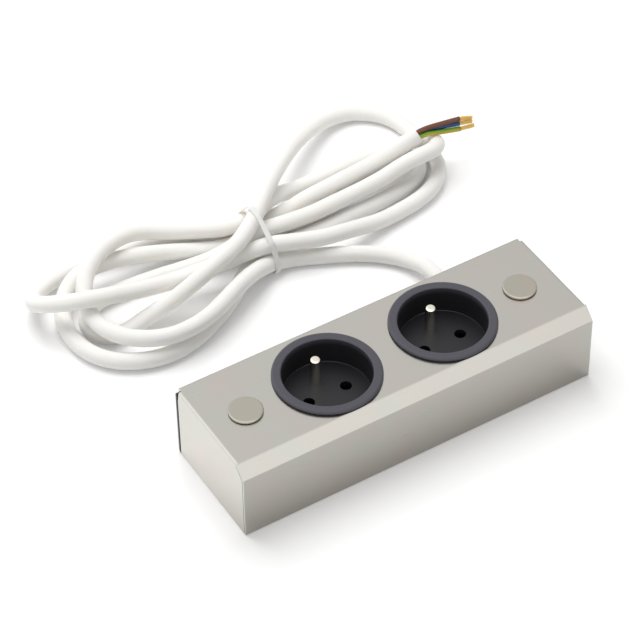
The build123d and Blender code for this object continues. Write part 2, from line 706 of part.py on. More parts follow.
def clamp_saddle():
    """Lower half of the cord clamp, on the base."""
    x = (EXIT_X - CLAMP_HALF_LENGTH, EXIT_X + CLAMP_HALF_LENGTH)
    y = (CLAMP_Y - CLAMP_SADDLE_HALF_WIDTH, CLAMP_Y + CLAMP_SADDLE_HALF_WIDTH)
    saddle = slab(x, y, (CHASSIS_SHEET, EXIT_Z - CLAMP_GAP))
    saddle -= bar_along_y(EXIT_X, EXIT_Z, 0, BACK, CORD_RADIUS)
    for place in clamp_places():
        saddle -= post(place, CLAMP_Y, 0, EXIT_Z, CLAMP_SCREW_RADIUS + 0.1)
    return saddle


def clamp_bar():
    """Arched bar that presses the cord into the saddle."""
    low, high = EXIT_Z + CLAMP_GAP, EXIT_Z + CLAMP_ARCH
    end = CLAMP_HALF_LENGTH
    arch = outline(
        [
            (EXIT_X - end, low),
            (EXIT_X - end, CLAMP_SCREW_SEAT),
            (EXIT_X - CLAMP_ARCH_HALF_TOP, high),
            (EXIT_X + CLAMP_ARCH_HALF_TOP, high),
            (EXIT_X + end, CLAMP_SCREW_SEAT),
            (EXIT_X + end, low),
        ]
    )
    arch = run_along_y(arch, CLAMP_Y - CLAMP_BAR_HALF_WIDTH, CLAMP_Y + CLAMP_BAR_HALF_WIDTH)
    arch -= bar_along_y(EXIT_X, EXIT_Z, 0, BACK, CORD_RADIUS)
    for place in clamp_places():
        arch -= post(place, CLAMP_Y, low - PAST, high + PAST, CLAMP_SCREW_RADIUS + 0.1)
        arch -= post(place, CLAMP_Y, CLAMP_SCREW_SEAT, high + PAST, CLAMP_HEAD_RADIUS + 0.2)
    return arch


def clamp_screw(x):
    """Slotted cheese-head screw into the base."""
    top = CLAMP_SCREW_SEAT + CLAMP_HEAD
    screw = post(x, CLAMP_Y, 0.1, CLAMP_SCREW_SEAT, CLAMP_SCREW_RADIUS)
    screw += post(x, CLAMP_Y, CLAMP_SCREW_SEAT, top, CLAMP_HEAD_RADIUS)
    return screw - Pos(x, CLAMP_Y, top) * Box(6, 0.6, 1.6)


def earth_lug():
    """Ring lug on the chassis stud, with a barrel for the bonding wire."""
    x, y, low = EARTH_STUD_X, EARTH_STUD_Y, CHASSIS_SHEET
    start, end = [x + reach for reach in LUG_BARREL]
    lug = post(x, y, low, low + LUG_THICKNESS, LUG_RADIUS)
    neck = (y - LUG_HALF_WIDTH, y + LUG_HALF_WIDTH)
    lug += slab((end - PAST, x), neck, (low, low + LUG_THICKNESS))
    lug -= post(x, y, low - PAST, low + LUG_THICKNESS + PAST, EARTH_STUD_RADIUS)
    lug += bar_along_x(y, WIRE_FLOOR, start, end, LUG_BARREL_RADIUS)
    return lug - bar_along_x(y, WIRE_FLOOR, start - PAST, end - PAST, CORE_RADIUS)


def earth_nut():
    x, y, low = EARTH_STUD_X, EARTH_STUD_Y, CHASSIS_SHEET + LUG_THICKNESS
    section = RegularPolygon(NUT_HALF_FLATS, 6, major_radius=False)
    nut = Pos(x, y, low) * extrude(section, NUT_HEIGHT)
    return nut - post(x, y, low - PAST, low + NUT_HEIGHT + PAST, EARTH_STUD_RADIUS)


def wire(*points):
    """An insulated core along straight runs with rounded corners."""
    path = FilletPolyline(*points, radius=WIRE_BEND)
    return sweep(Plane(path @ 0, z_dir=path % 0) * Circle(CORE_RADIUS), path=path)


def riser(x, y):
    """The upright end of a wire in a terminal cage."""
    return (x, y, WIRE_FLOOR), (x, y, TERMINAL_TOP - 1.5)


def inside_wires():
    """Cores from the jacket to the right socket, and links on to the left one."""
    z = WIRE_FLOOR
    pole_y = SOCKET_Y + TERMINAL_Y
    earth_y = SOCKET_Y + EARTH_TERMINAL_Y
    half = WIRE_PITCH / 2
    live_right, live_left = SOCKET_X + TERMINAL_X, -SOCKET_X + TERMINAL_X
    neutral_right, neutral_left = SOCKET_X - TERMINAL_X, -SOCKET_X - TERMINAL_X
    low, high = EXIT_Z - CORE_RADIUS / sqrt(3), EXIT_Z + 2 * CORE_RADIUS / sqrt(3) + 0.01
    brown = [
        wire(
            (EXIT_X + CORE_RADIUS, JACKET_END_Y, low),
            (EXIT_X + CORE_RADIUS, 7, low),
            (EXIT_X + CORE_RADIUS, 1, 4.4),
            (59, -2.5, z),
            (49, -2.5, z),
            *riser(live_right, pole_y + half),
        ),
        wire(
            *reversed(riser(live_right, pole_y - half)),
            (live_right, -22.6, z),
            (2, -22.6, z),
            (-9, pole_y + half, z),
            *riser(live_left, pole_y + half),
        ),
    ]
    blue = [
        wire(
            (EXIT_X - CORE_RADIUS, JACKET_END_Y, low),
            (EXIT_X - CORE_RADIUS, 7, low),
            (56, 4.6, 4.5),
            (50, 4.6, z),
            (24, 4.6, z),
            (neutral_right, -1, z),
            *riser(neutral_right, pole_y + half),
        ),
        wire(
            *reversed(riser(neutral_right, pole_y - half)),
            (8, pole_y - half, z),
            (-4, 5, z),
            (-36, 5, z),
            (neutral_left, -1, z),
            *riser(neutral_left, pole_y + half),
        ),
    ]
    earth = [
        wire(
            (EXIT_X, JACKET_END_Y, high),
            (EXIT_X, 6.5, high),
            (59.5, 1.2, 6.5),
            (53, 1, z),
            (37, 1, z),
            (SOCKET_X + half, -5, z),
            *riser(SOCKET_X + half, earth_y),
        ),
        wire(
            *reversed(riser(SOCKET_X - half, earth_y)),
            (SOCKET_X - half, -18.6, z),
            (6, -18.6, z),
            (-8, 1, z),
            (-23, 1, z),
            (-SOCKET_X + half, -5, z),
            *riser(-SOCKET_X + half, earth_y),
        ),
        wire(
            *reversed(riser(-SOCKET_X - half, earth_y)),
            (-SOCKET_X - half, EARTH_STUD_Y, z),
            (EARTH_STUD_X + LUG_BARREL[1] - PAST, EARTH_STUD_Y, z),
        ),
    ]
    return {"wire_brown": brown, "wire_blue": blue, "wire_green_yellow": earth}


def rod(points, radius):
    """A round bar along straight runs joined by tangent arcs, and its path and radii."""
    corners = [Vector(*point) for point in points]
    runs = [after - before for before, after in zip(corners, corners[1:])]
    radii = []
    for i, (before, after) in enumerate(zip(runs, runs[1:])):
        room = ARC_SHARE * min(before.length, after.length)
        if radius == CORD_RADIUS and i == 0:
            room = min(room, before.length - END_RUN)
        if radius == CORD_RADIUS and i == len(runs) - 2:
            room = min(room, after.length - END_RUN)
        radii.append(room / tan(radians(before.get_angle(after)) / 2))
    path = FilletPolyline(*corners, radius=radii) if radii else Line(*corners)
    start = Plane(corners[0], z_dir=runs[0])
    return sweep(start * Circle(radius), path=path), path, radii


def save_cord(node, points):
    solid, path, radii = rod(points, CORD_RADIUS)
    save(node, solid)
    return solid, path, radii


def report(label, solid, path, radii):
    """Print the length, the tightest and widest arcs and the check on the volume."""
    share = solid.volume / (pi * CORD_RADIUS**2 * path.length)
    print(f"{label}: {path.length:.1f} mm, radii {min(radii):.1f} to {max(radii):.1f} mm", end=", ")
    print(f"volume {share:.4f} of section x length")
    return path


def least_gap(path):
    """Smallest clear distance between stretches that lie 30 mm or more apart along it."""
    steps = int(path.length / 2)
    points = [tuple(path @ (i / steps)) for i in range(steps + 1)]
    apart = [
        dist(points[i], points[j]) for i in range(steps + 1) for j in range(i + 15, steps + 1)
    ]
    return min(apart) - 2 * CORD_RADIUS


def free_core(angle, *bends):
    """Points of a core that leaves the jacket square to its cut end."""
    end = Plane(FREE_END[-1], x_dir=(0, 1, 0), z_dir=Vector(*FREE_END[-1]) - Vector(*FREE_END[-2]))
    away = Vector(CORE_SPREAD, 0, 0).rotate(Axis.Z, angle)
    return [
        tuple(end.from_local_coords(away)),
        tuple(end.from_local_coords(away + Vector(0, 0, CORE_SQUARE_RUN))),
        *bends,
    ]


def bare_end(before, cut, tip):
    """Points of a conductor that leaves its core's cut end square."""
    ahead = (Vector(*cut) - Vector(*before)).normalized()
    return [cut, tuple(Vector(*cut) + ahead * CORE_SQUARE_RUN / 2), tip]


def cord_tie():
    """Plastic band pulled tight round the eight strands of the hank."""
    rings = [Pos(y, z) * Edge.make_circle(CORD_RADIUS + room) for y, z, room in TIED_STRANDS]
    inner = make_hull(rings)
    band = offset(inner, TIE_THICKNESS) - inner
    return run_along_x(band, TIE_X - TIE_WIDTH / 2, TIE_X + TIE_WIDTH / 2)


# Course of the cord, loop by loop. It lies on the floor or on the strands below it.
LEAD = [
    (EXIT_X, BACK + BOOT_LENGTH, EXIT_Z),
    (62, 61, EXIT_Z), (60.5, 71, 5.4), (55, 80, FLOOR), (46, 88, FLOOR), (35, 94.5, FLOOR),
    (24, 99.65, FLOOR),
]
FIRST_LEFT_LOOP = [
    (13, 104.8, FLOOR), (1, 104.8, 6.4), (-9, 100, 10.6), (-19, 95, 12.6), (-30, 89.5, 12.6),
    (-42, 84, 12.6), (-54, 81.5, 12.6), (-66, 82.5, 12.6), (-78, 89, 12.6), (-86, 99, 12.6),
    (-88.5, 110, 12.6), (-87.5, 119, 14.2), (-84, 127.5, 18.5), (-77, 134.5, 21.4),
    (-66.5, 141, 21.8), (-54, 145.5, 19.8), (-42, 147.5, 15.4), (-31, 143, 13),
    (-20, 137.5, 12.8), (-8, 131, 12.8),
]
RIGHT_LOOP = [
    (TIE_X, 130, 12.6), (14, 133.5, 13.4), (26, 140, 11.4), (38, 143.5, 5.6), (50, 144.5, FLOOR),
    (64, 145.5, FLOOR), (78, 146, FLOOR), (90, 145, FLOOR), (98, 140, FLOOR), (101, 132, FLOOR),
    (99, 124.5, FLOOR), (92, 119, FLOOR), (82, 117, FLOOR), (70, 115.5, FLOOR), (56, 115, FLOOR),
    (42, 113.5, FLOOR), (28, 113.5, FLOOR), (15, 115, FLOOR),
]
SECOND_LEFT_LOOP = [
    (TIE_X, 117, 5), (-6, 110.5, FLOOR), (-16, 102, FLOOR), (-27, 93.5, FLOOR), (-38, 87.5, FLOOR),
    (-50, 82, FLOOR), (-63, 79.5, FLOOR), (-76, 81.5, FLOOR), (-88, 88, FLOOR), (-96, 98, FLOOR),
    (-99, 111, FLOOR), (-98, 121, FLOOR), (-95, 130, 5.5), (-89, 137, 9), (-80, 141, 12),
    (-68, 141.5, 12.6), (-56, 139.5, 12), (-45, 136.5, 11), (-33, 135, 7.5), (-20, 131.5, 4.6),
    (-8, 127, FLOOR),
]
TIGHT_RIGHT_FOLD = [
    (TIE_X, 125.8, 5), (15, 124.3, FLOOR), (27, 122.8, FLOOR), (39, 123.5, FLOOR),
    (52, 126.5, FLOOR), (65, 130, FLOOR), (77, 133, 5), (86, 135, 8.5), (94.3, 136.7, 12.2),
    (102.8, 136.9, 12.9), (108.9, 131.7, 14), (108.8, 123.9, 16.9), (102.5, 118.9, 19.2),
    (93.8, 119, 19), (84.8, 120, 16.6), (76, 119.6, 14.4), (66, 119.4, 13), (54, 119, 12.6),
    (42, 118.2, 12.6), (30, 118, 12.6), (17, 119.4, 12.6),
]
LEFT_CURL = [
    (TIE_X, 121.3, 12.6), (-8, 119.6, 10.8), (-20, 121, 7), (-32, 125, FLOOR), (-45, 127, FLOOR),
    (-58, 128, FLOOR), (-70, 128.5, FLOOR), (-80, 127, FLOOR), (-87.5, 121, FLOOR),
    (-89.5, 112, FLOOR), (-84.5, 104.8, FLOOR), (-75, 102.8, FLOOR), (-63, 104.5, 6.5),
    (-52, 103, 11), (-41, 102, 17), (-30, 103.5, 21), (-19, 107, 21.6), (-8, 112.5, 21.4),
]
WIDE_RIGHT_LOOP = [
    (TIE_X, 121.5, 21.2), (12, 129, 21.9), (21.5, 138, 21.6), (34, 149.5, 19), (49, 162, 15),
    (65, 173, 10), (80, 179.5, 5.5), (93, 178.5, FLOOR), (102, 172, FLOOR), (108, 163, FLOOR),
    (110, 152, FLOOR), (110.5, 141, FLOOR), (110, 131, FLOOR), (108, 122, FLOOR),
    (102.5, 114.5, FLOOR), (94, 109, FLOOR), (84, 106, FLOOR), (73, 104.5, FLOOR), (62, 103, 5),
    (50, 101, 9), (38, 100, 12), (27, 101, 13), (15, 105, 13.8),
]
THIRD_LEFT_LOOP = [
    (TIE_X, 109, 14.4), (-8, 111, 12.8), (-20, 111, 12.6), (-32, 112, 12.6), (-44, 112.5, 13),
    (-56, 112, 15.5), (-67, 112, 18), (-78, 112.5, 20.8), (-88, 114, 22.3), (-97, 118, 21.4),
    (-104, 124, 19), (-107, 132, 14), (-105, 140, 9.5), (-98, 147, 6), (-88, 151.5, FLOOR),
    (-76, 153, FLOOR), (-63, 152, FLOOR), (-50, 150.5, FLOOR), (-37, 148, FLOOR),
    (-24, 144, FLOOR), (-10, 138, FLOOR),
]
LAST_STRAND = [
    (TIE_X, 134.4, 5), (15, 133, FLOOR), (26, 131.4, 6.4), (37, 130, 11), (50, 129.5, 12.8),
]
FREE_END = [(62, 130.15, 13.4), (74, 130.8, 14), (87, 129.6, 17.7), (100, 129, 22.6)]
HANK = [
    LEAD[-1],
    *FIRST_LEFT_LOOP,
    *RIGHT_LOOP,
    *SECOND_LEFT_LOOP,
    *TIGHT_RIGHT_FOLD,
    *LEFT_CURL,
    *WIDE_RIGHT_LOOP,
    *THIRD_LEFT_LOOP,
    *LAST_STRAND,
    FREE_END[0],
]

# Where the outer strands cross the tie, as y, z and the room left round each
TIED_STRANDS = [
    (104.6, 5.9, 0.5),
    (117, 5, 0.3),
    (134.7, 5, 0.35),
    (130.1, 12.7, 0.8),
    (119.4, 21.2, 0.3),
    (123.6, 21.2, 0.5),
    (109, 14.4, 0.65),
]

# Free cores: the angle round the jacket's end at which each leaves, then its bends
CORES = {
    "core_brown": (90, (112, 127.1, 25.5), (121.6, 125.2, 25.7)),
    "core_blue": (330, (112, 127.9, 23), (121.5, 125, 23.05)),
    "core_green_yellow": (210, (112, 125.6, 21.5), (121.3, 123.9, 20.5)),
}
BARE_TIPS = [(127.9, 123.6, 24.7), (127.9, 123.3, 22.9), (128.2, 121.9, 21.1)]

os.makedirs("parts", exist_ok=True)

save("housing_cover", housing_cover())
save("chassis", chassis())
save("cover_pillars", *[cover_pillar(side) for side in SIDES.values()])
save("base_screws", *[base_screw(side) for side in SIDES.values()])
save("fixing_sleeves", *[fixing_sleeve(side) for side in SIDES.values()])

for name, side in SIDES.items():
    place = Pos(side * SOCKET_X, SOCKET_Y, 0)
    save(f"screw_cap_{name}", screw_cap(side))
    save(f"cap_ring_{name}", cap_ring(side))
    save(f"socket_cup_{name}", place * socket_cup())
    save(f"retaining_clips_{name}", *[place * retaining_clip(way) for way in SIDES.values()])
    save(f"earth_pin_{name}", place * earth_pin())
    save(f"contact_block_{name}", place * contact_block())
    save(f"live_contact_{name}", place * pole_contact(1))
    save(f"neutral_contact_{name}", place * pole_contact(-1))
    save(f"earth_strap_{name}", place * earth_strap())
    save(f"terminal_screws_{name}", *[place * screw for screw in terminal_screws()])
    save(f"block_screws_{name}", *[place * block_screw(way) for way in SIDES.values()])
    save(f"shutter_{name}", place * shutter())
    save(f"shutter_spring_{name}", place * shutter_spring())

save("cable_boot", cable_boot())
save("clamp_saddle", clamp_saddle())
save("clamp_bar", clamp_bar())
save("clamp_screws", *[clamp_screw(place) for place in clamp_places()])
save("earth_lug", earth_lug())
save("earth_nut", earth_nut())
for node, solids in inside_wires().items():
    save(node, *solids)
save("cable_inlet", bar_along_y(EXIT_X, EXIT_Z, JACKET_END_Y, BACK + BOOT_LENGTH, CORD_RADIUS))

report("lead", *save_cord("power_cord", LEAD))
hank_path = report("hank", *save_cord("cord_hank", HANK))
report("free end", *save_cord("cord_free_end", FREE_END))
print(f"hank's least gap to itself {least_gap(hank_path):.2f} mm")
save("cord_tie", cord_tie())
for node, (angle, *bends) in CORES.items():
    save(node, rod(free_core(angle, *bends), CORE_RADIUS)[0])
bare_ends = [bare_end(*bends, tip) for (angle, *bends), tip in zip(CORES.values(), BARE_TIPS)]
save("bare_conductors", *[rod(points, CONDUCTOR_RADIUS)[0] for points in bare_ends])
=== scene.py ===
"""Twin socket block with a hard-wired lead: the looks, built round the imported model."""

from math import asin, cos, pi, radians, sin

import bmesh
import bpy
from bpy.props import FloatProperty, IntProperty, PointerProperty, StringProperty
from mathutils import Matrix, Vector


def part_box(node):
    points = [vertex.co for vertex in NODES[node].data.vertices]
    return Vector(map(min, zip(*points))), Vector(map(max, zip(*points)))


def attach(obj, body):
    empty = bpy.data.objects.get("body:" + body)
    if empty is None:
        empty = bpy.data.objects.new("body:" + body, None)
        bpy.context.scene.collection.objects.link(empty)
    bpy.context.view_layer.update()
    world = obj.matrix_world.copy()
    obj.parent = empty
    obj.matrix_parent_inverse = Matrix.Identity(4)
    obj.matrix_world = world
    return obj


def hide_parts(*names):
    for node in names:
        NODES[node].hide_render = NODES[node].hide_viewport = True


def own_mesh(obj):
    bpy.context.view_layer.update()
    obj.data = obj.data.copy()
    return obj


bl_info = {
    "name": "Twin socket block",
    "version": (1, 0, 0),
    "blender": (4, 5, 0),
    "location": "View3D > Sidebar > Socket block",
    "description": "Builds the finishes, the lead and the stage of a surface socket block",
    "category": "Object",
}

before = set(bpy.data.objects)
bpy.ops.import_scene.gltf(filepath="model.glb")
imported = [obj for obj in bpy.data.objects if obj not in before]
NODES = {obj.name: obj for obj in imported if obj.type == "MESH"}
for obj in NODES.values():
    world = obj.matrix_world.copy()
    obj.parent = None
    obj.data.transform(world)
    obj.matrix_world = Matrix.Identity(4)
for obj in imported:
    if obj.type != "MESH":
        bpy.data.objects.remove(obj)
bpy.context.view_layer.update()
BODY = "block"
SIDES = ("left", "right")
MM = 0.001
CM_PER_METRE = 100

# Lead and hank, in the model's millimetres
CORD_RADIUS = 4.0
CORE_RADIUS = 1.25
EXIT = (62, 49, 9)
FLOOR = CORD_RADIUS + 0.1
TIE_X = 4.0
TIE_STEP = 1.2
CORE_SPREAD = 1.52
CORE_SQUARE_RUN = 3.2

LEAD = [
    EXIT, (62, 61, 9), (60.5, 71, 5.4), (55, 80, FLOOR), (46, 88, FLOOR), (35, 94.5, FLOOR),
]
FIRST_LEFT_LOOP = [
    (13, 104.8, FLOOR), (1, 104.8, 6.4), (-9, 100, 10.6), (-19, 95, 12.6), (-30, 89.5, 12.6),
    (-42, 84, 12.6), (-54, 81.5, 12.6), (-66, 82.5, 12.6), (-78, 89, 12.6), (-86, 99, 12.6),
    (-88.5, 110, 12.6), (-87.5, 119, 14.2), (-84, 127.5, 18.5), (-77, 134.5, 21.4),
    (-66.5, 141, 21.8), (-54, 145.5, 19.8), (-42, 147.5, 15.4), (-31, 143, 13),
    (-20, 137.5, 12.8), (-8, 131, 12.8),
]
RIGHT_LOOP = [
    (TIE_X, 130, 12.6), (14, 133.5, 13.4), (26, 140, 11.4), (38, 143.5, 5.6), (50, 144.5, FLOOR),
    (64, 145.5, FLOOR), (78, 146, FLOOR), (90, 145, FLOOR), (98, 140, FLOOR), (101, 132, FLOOR),
    (99, 124.5, FLOOR), (92, 119, FLOOR), (82, 117, FLOOR), (70, 115.5, FLOOR), (56, 115, FLOOR),
    (42, 113.5, FLOOR), (28, 113.5, FLOOR), (15, 115, FLOOR),
]
SECOND_LEFT_LOOP = [
    (TIE_X, 117, 5), (-6, 110.5, FLOOR), (-16, 102, FLOOR), (-27, 93.5, FLOOR), (-38, 87.5, FLOOR),
    (-50, 82, FLOOR), (-63, 79.5, FLOOR), (-76, 81.5, FLOOR), (-88, 88, FLOOR), (-96, 98, FLOOR),
    (-99, 111, FLOOR), (-98, 121, FLOOR), (-95, 130, 5.5), (-89, 137, 9), (-80, 141, 12),
    (-68, 141.5, 12.6), (-56, 139.5, 12), (-45, 136.5, 11), (-33, 135, 7.5), (-20, 131.5, 4.6),
    (-8, 127, FLOOR),
]
TIGHT_RIGHT_FOLD = [
    (TIE_X, 125.8, 5), (15, 124.3, FLOOR), (27, 122.8, FLOOR), (39, 123.5, FLOOR),
    (52, 126.5, FLOOR), (65, 130, FLOOR), (77, 133, 5), (86, 135, 8.5), (94.3, 136.7, 12.2),
    (102.8, 136.9, 12.9), (108.9, 131.7, 14), (108.8, 123.9, 16.9), (102.5, 118.9, 19.2),
    (93.8, 119, 19), (84.8, 120, 16.6), (76, 119.6, 14.4), (66, 119.4, 13), (54, 119, 12.6),
    (42, 118.2, 12.6), (30, 118, 12.6), (17, 119.4, 12.6),
]
LEFT_CURL = [
    (TIE_X, 121.3, 12.6), (-8, 119.6, 10.8), (-20, 121, 7), (-32, 125, FLOOR), (-45, 127, FLOOR),
    (-58, 128, FLOOR), (-70, 128.5, FLOOR), (-80, 127, FLOOR), (-87.5, 121, FLOOR),
    (-89.5, 112, FLOOR), (-84.5, 104.8, FLOOR), (-75, 102.8, FLOOR), (-63, 104.5, 6.5),
    (-52, 103, 11), (-41, 102, 17), (-30, 103.5, 21), (-19, 107, 21.6), (-8, 112.5, 21.4),
]
WIDE_RIGHT_LOOP = [
    (TIE_X, 121.5, 21.2), (12, 129, 21.9), (21.5, 138, 21.6), (34, 149.5, 19), (49, 162, 15),
    (65, 173, 10), (80, 179.5, 5.5), (93, 178.5, FLOOR), (102, 172, FLOOR), (108, 163, FLOOR),
    (110, 152, FLOOR), (110.5, 141, FLOOR), (110, 131, FLOOR), (108, 122, FLOOR),
    (102.5, 114.5, FLOOR), (94, 109, FLOOR), (84, 106, FLOOR), (73, 104.5, FLOOR), (62, 103, 5),
    (50, 101, 9), (38, 100, 12), (27, 101, 13), (15, 105, 13.8),
]
THIRD_LEFT_LOOP = [
    (TIE_X, 109, 14.4), (-8, 111, 12.8), (-20, 111, 12.6), (-32, 112, 12.6), (-44, 112.5, 13),
    (-56, 112, 15.5), (-67, 112, 18), (-78, 112.5, 20.8), (-88, 114, 22.3), (-97, 118, 21.4),
    (-104, 124, 19), (-107, 132, 14), (-105, 140, 9.5), (-98, 147, 6), (-88, 151.5, FLOOR),
    (-76, 153, FLOOR), (-63, 152, FLOOR), (-50, 150.5, FLOOR), (-37, 148, FLOOR),
    (-24, 144, FLOOR), (-10, 138, FLOOR),
]
LAST_STRAND = [
    (TIE_X, 134.4, 5), (15, 133, FLOOR), (26, 131.4, 6.4), (37, 130, 11), (50, 129.5, 12.8),
]
FREE_END = [(74, 130.8, 14), (87, 129.6, 17.7), (100, 129, 22.6)]
ROUTE = [
    *LEAD,
    *FIRST_LEFT_LOOP,
    *RIGHT_LOOP,
    *SECOND_LEFT_LOOP,
    *TIGHT_RIGHT_FOLD,
    *LEFT_CURL,
    *WIDE_RIGHT_LOOP,
    *THIRD_LEFT_LOOP,
    *LAST_STRAND,
    *FREE_END,
]

# Where the outer strands cross the tie, as y, z and the room left round each
TIED_STRANDS = [
    (104.6, 5.9, 0.5),
    (117, 5, 0.3),
    (134.7, 5, 0.35),
    (130.1, 12.7, 0.8),
    (119.4, 21.2, 0.3),
    (123.6, 21.2, 0.5),
    (109, 14.4, 0.65),
]

# Free cores: the angle round the jacket's end at which each leaves, its bends and its bare tip
CORES = {
    "core_brown": (90, [(112, 127.1, 25.5), (121.6, 125.2, 25.7)], (127.9, 123.6, 24.7)),
    "core_blue": (330, [(112, 127.9, 23), (121.5, 125, 23.05)], (127.9, 123.3, 22.9)),
    "core_green_yellow": (210, [(112, 125.6, 21.5), (121.3, 123.9, 20.5)], (128.2, 121.9, 21.1)),
}

# Bare ends: the winding's share of the core's radius, how much of its length the shortest
# strand keeps, and how far the line starts back inside the insulation, as a share of the step
WINDING_SHARE = 0.82
SHORTEST_STRAND = 0.93
START_BACK = 0.3

# Bowed leaf: the share of its arc between its feet, and the steps from its middle to an end
LEAF_SHARE = 0.985
LEAF_STEPS = 16

# Yellow band of the earth insulation: turns in a centimetre, and the turn it starts at
BAND_TURNS = 0.02
BAND_START = 0.325

# Patterns, as features in a metre. The mottle, both skins and the mould grain of the settings
# are coarser than the real ones, which would be too fine to show.
STEEL_CLOUDS = 70
PLATING_MOTTLE = 900
POWDER_PEEL = 1400
JACKET_SKIN = 700
JACKET_CLOUDS = 45
CORE_SKIN = 1200

# How deep the patterns go, in metres
BRUSH_DEPTH = 0.0000012
PLATING_DEPTH = 0.000004
PEEL_DEPTH = 0.00003
JACKET_DEPTH = 0.000025
CORE_DEPTH = 0.00001
MOULD_DEPTH = 0.00002
SLIDE_DEPTH = 0.00001

# Heights between which a cup turns from the painted shade below its rim to the colour of its rim
RECESS_TOP = 0.0385
RIM_FOOT = 0.0405

# Colours of pieces that lie inside or show little
ZINC = "#C9CBC8"
RUBBER = "#1A1A1A"
CARRIER = "#3B3B3E"
SLIDE = "#1D1D20"
BRASS = "#C9A25A"
CLIP_STEEL = "#9C9C9E"
CLAMP = "#D8D4C8"
TINNED_BRASS = "#D5D2C8"

# Stage, in metres
CAMERA_TARGET = (-0.004694, 0.048605, 0.020)
SENSOR_WIDTH = 36
PICTURE_WIDTH = 640
CLIP_RANGE = (0.05, 20)
FLOOR_REACH = 6
LAMP_PLACE = (-0.05, 0.62, 1.55)
LAMP_TARGET = (0, 0.05, 0)
LAMP_SIZE = 1.2
LAMP_RADIANCE = 4.64

# How bright the room is to a dull surface, and the floor's own light to the camera
ROOM_LIGHT = 0.45
FLOOR_LIFT = 0.12

# What metal mirrors: the floor brightens from the first place to the second along a diagonal,
# and the room from one heading to the other, each up to its own light
FLOOR_DIAGONAL, FLOOR_SPAN, FLOOR_MIRRORED = (-1, 1, 0), (0.05, 0.1), (0, 0.38)
ROOM_HEADING, ROOM_SPAN, ROOM_MIRRORED = (-0.7, -0.28, 0), (-0.77, 0.18), (0.65, 1.6)


class CordSettings(bpy.types.PropertyGroup):
    """Sizes and colours of the lead, its tie and its free cores."""

    diameter: FloatProperty(
        name="Cord diameter", description="Outside of the PVC jacket",
        default=2 * CORD_RADIUS * MM, subtype="DISTANCE", unit="LENGTH",
    )
    core_diameter: FloatProperty(
        name="Core diameter", description="Outside of one insulated core",
        default=2 * CORE_RADIUS * MM, subtype="DISTANCE", unit="LENGTH",
    )
    strand_diameter: FloatProperty(
        name="Strand diameter", description="One copper strand of a bare end",
        default=0.0004, subtype="DISTANCE", unit="LENGTH",
    )
    outer_strands: IntProperty(
        name="Outer strands", description="Strands round the outside of a bare end", default=10,
    )
    lay_length: FloatProperty(
        name="Lay length", description="Length in which a strand goes round once",
        default=0.014, subtype="DISTANCE", unit="LENGTH",
    )
    tie_width: FloatProperty(
        name="Tie width", description="Width of the plastic strip round the hank",
        default=0.0026, subtype="DISTANCE", unit="LENGTH",
    )
    tie_thickness: FloatProperty(
        name="Tie thickness", description="Thickness of that strip",
        default=0.0005, subtype="DISTANCE", unit="LENGTH",
    )
    jacket: StringProperty(name="Jacket colour", description="sRGB hex", default="#F8F6F2")
    brown: StringProperty(name="Live colour", description="sRGB hex", default="#6B3E29")
    blue: StringProperty(name="Neutral colour", description="sRGB hex", default="#20508C")
    tie: StringProperty(name="Tie colour", description="sRGB hex", default="#F7F6F1")
    green: StringProperty(name="Earth green", description="sRGB hex", default="#6FA828")
    yellow: StringProperty(name="Earth yellow", description="sRGB hex", default="#C9A92B")
    copper: StringProperty(name="Strand colour", description="sRGB hex", default="#E0BE72")


class BlockSettings(bpy.types.PropertyGroup):
    """Finishes of the housing and the sockets."""

    steel: StringProperty(name="Cover colour", description="sRGB hex", default="#BEBBB6")
    cap_steel: StringProperty(name="Cap colour", description="sRGB hex", default="#B2ADA3")
    brush_pitch: FloatProperty(
        name="Brush pitch", description="Spacing of the brush lines, coarser than real",
        default=0.0007, subtype="DISTANCE", unit="LENGTH",
    )
    brush_length: FloatProperty(
        name="Brush length", description="Length of the brush lines along the grain",
        default=0.035, subtype="DISTANCE", unit="LENGTH",
    )
    powder: StringProperty(name="Chassis colour", description="sRGB hex", default="#141415")
    socket: StringProperty(name="Socket colour", description="sRGB hex", default="#45444C")
    # Painted shade: the darker colour given to a cup below its rim
    recess_shade: StringProperty(name="Recess colour", description="sRGB hex", default="#18171B")
    mould_grain: FloatProperty(
        name="Mould grain", description="Size of the spark-eroded grain, coarser than real",
        default=0.0005, subtype="DISTANCE", unit="LENGTH",
    )
    spring: StringProperty(name="Spring colour", description="sRGB hex", default="#8E8F94")
    spring_thickness: FloatProperty(
        name="Spring thickness", description="Sheet of the bowed leaf in front of a shutter",
        default=0.0004, subtype="DISTANCE", unit="LENGTH",
    )
    shutter_travel: FloatProperty(
        name="Shutter travel", description="How far a shutter slides, which flattens its leaf",
        default=0.0062, subtype="DISTANCE", unit="LENGTH",
    )
    nickel: StringProperty(name="Pin colour", description="sRGB hex", default="#E6E1D3")


class StageSettings(bpy.types.PropertyGroup):
    """Camera and floor, as the photograph has them."""

    azimuth: FloatProperty(
        name="Azimuth", description="Camera's turn round the block",
        default=radians(-30.931), subtype="ANGLE", unit="ROTATION",
    )
    elevation: FloatProperty(
        name="Elevation", description="Camera's height over the table",
        default=radians(44.914), subtype="ANGLE", unit="ROTATION",
    )
    roll: FloatProperty(
        name="Roll", description="Camera's tilt about its own axis",
        default=radians(-0.903), subtype="ANGLE", unit="ROTATION",
    )
    distance: FloatProperty(
        name="Distance", description="From the camera to its target",
        default=1.273651, subtype="DISTANCE", unit="LENGTH",
    )
    focal_px: FloatProperty(
        name="Focal length", description="In pixels of the photograph's 640", default=2815.894,
    )
    floor: StringProperty(name="Floor colour", description="sRGB hex", default="#F4F4F4")


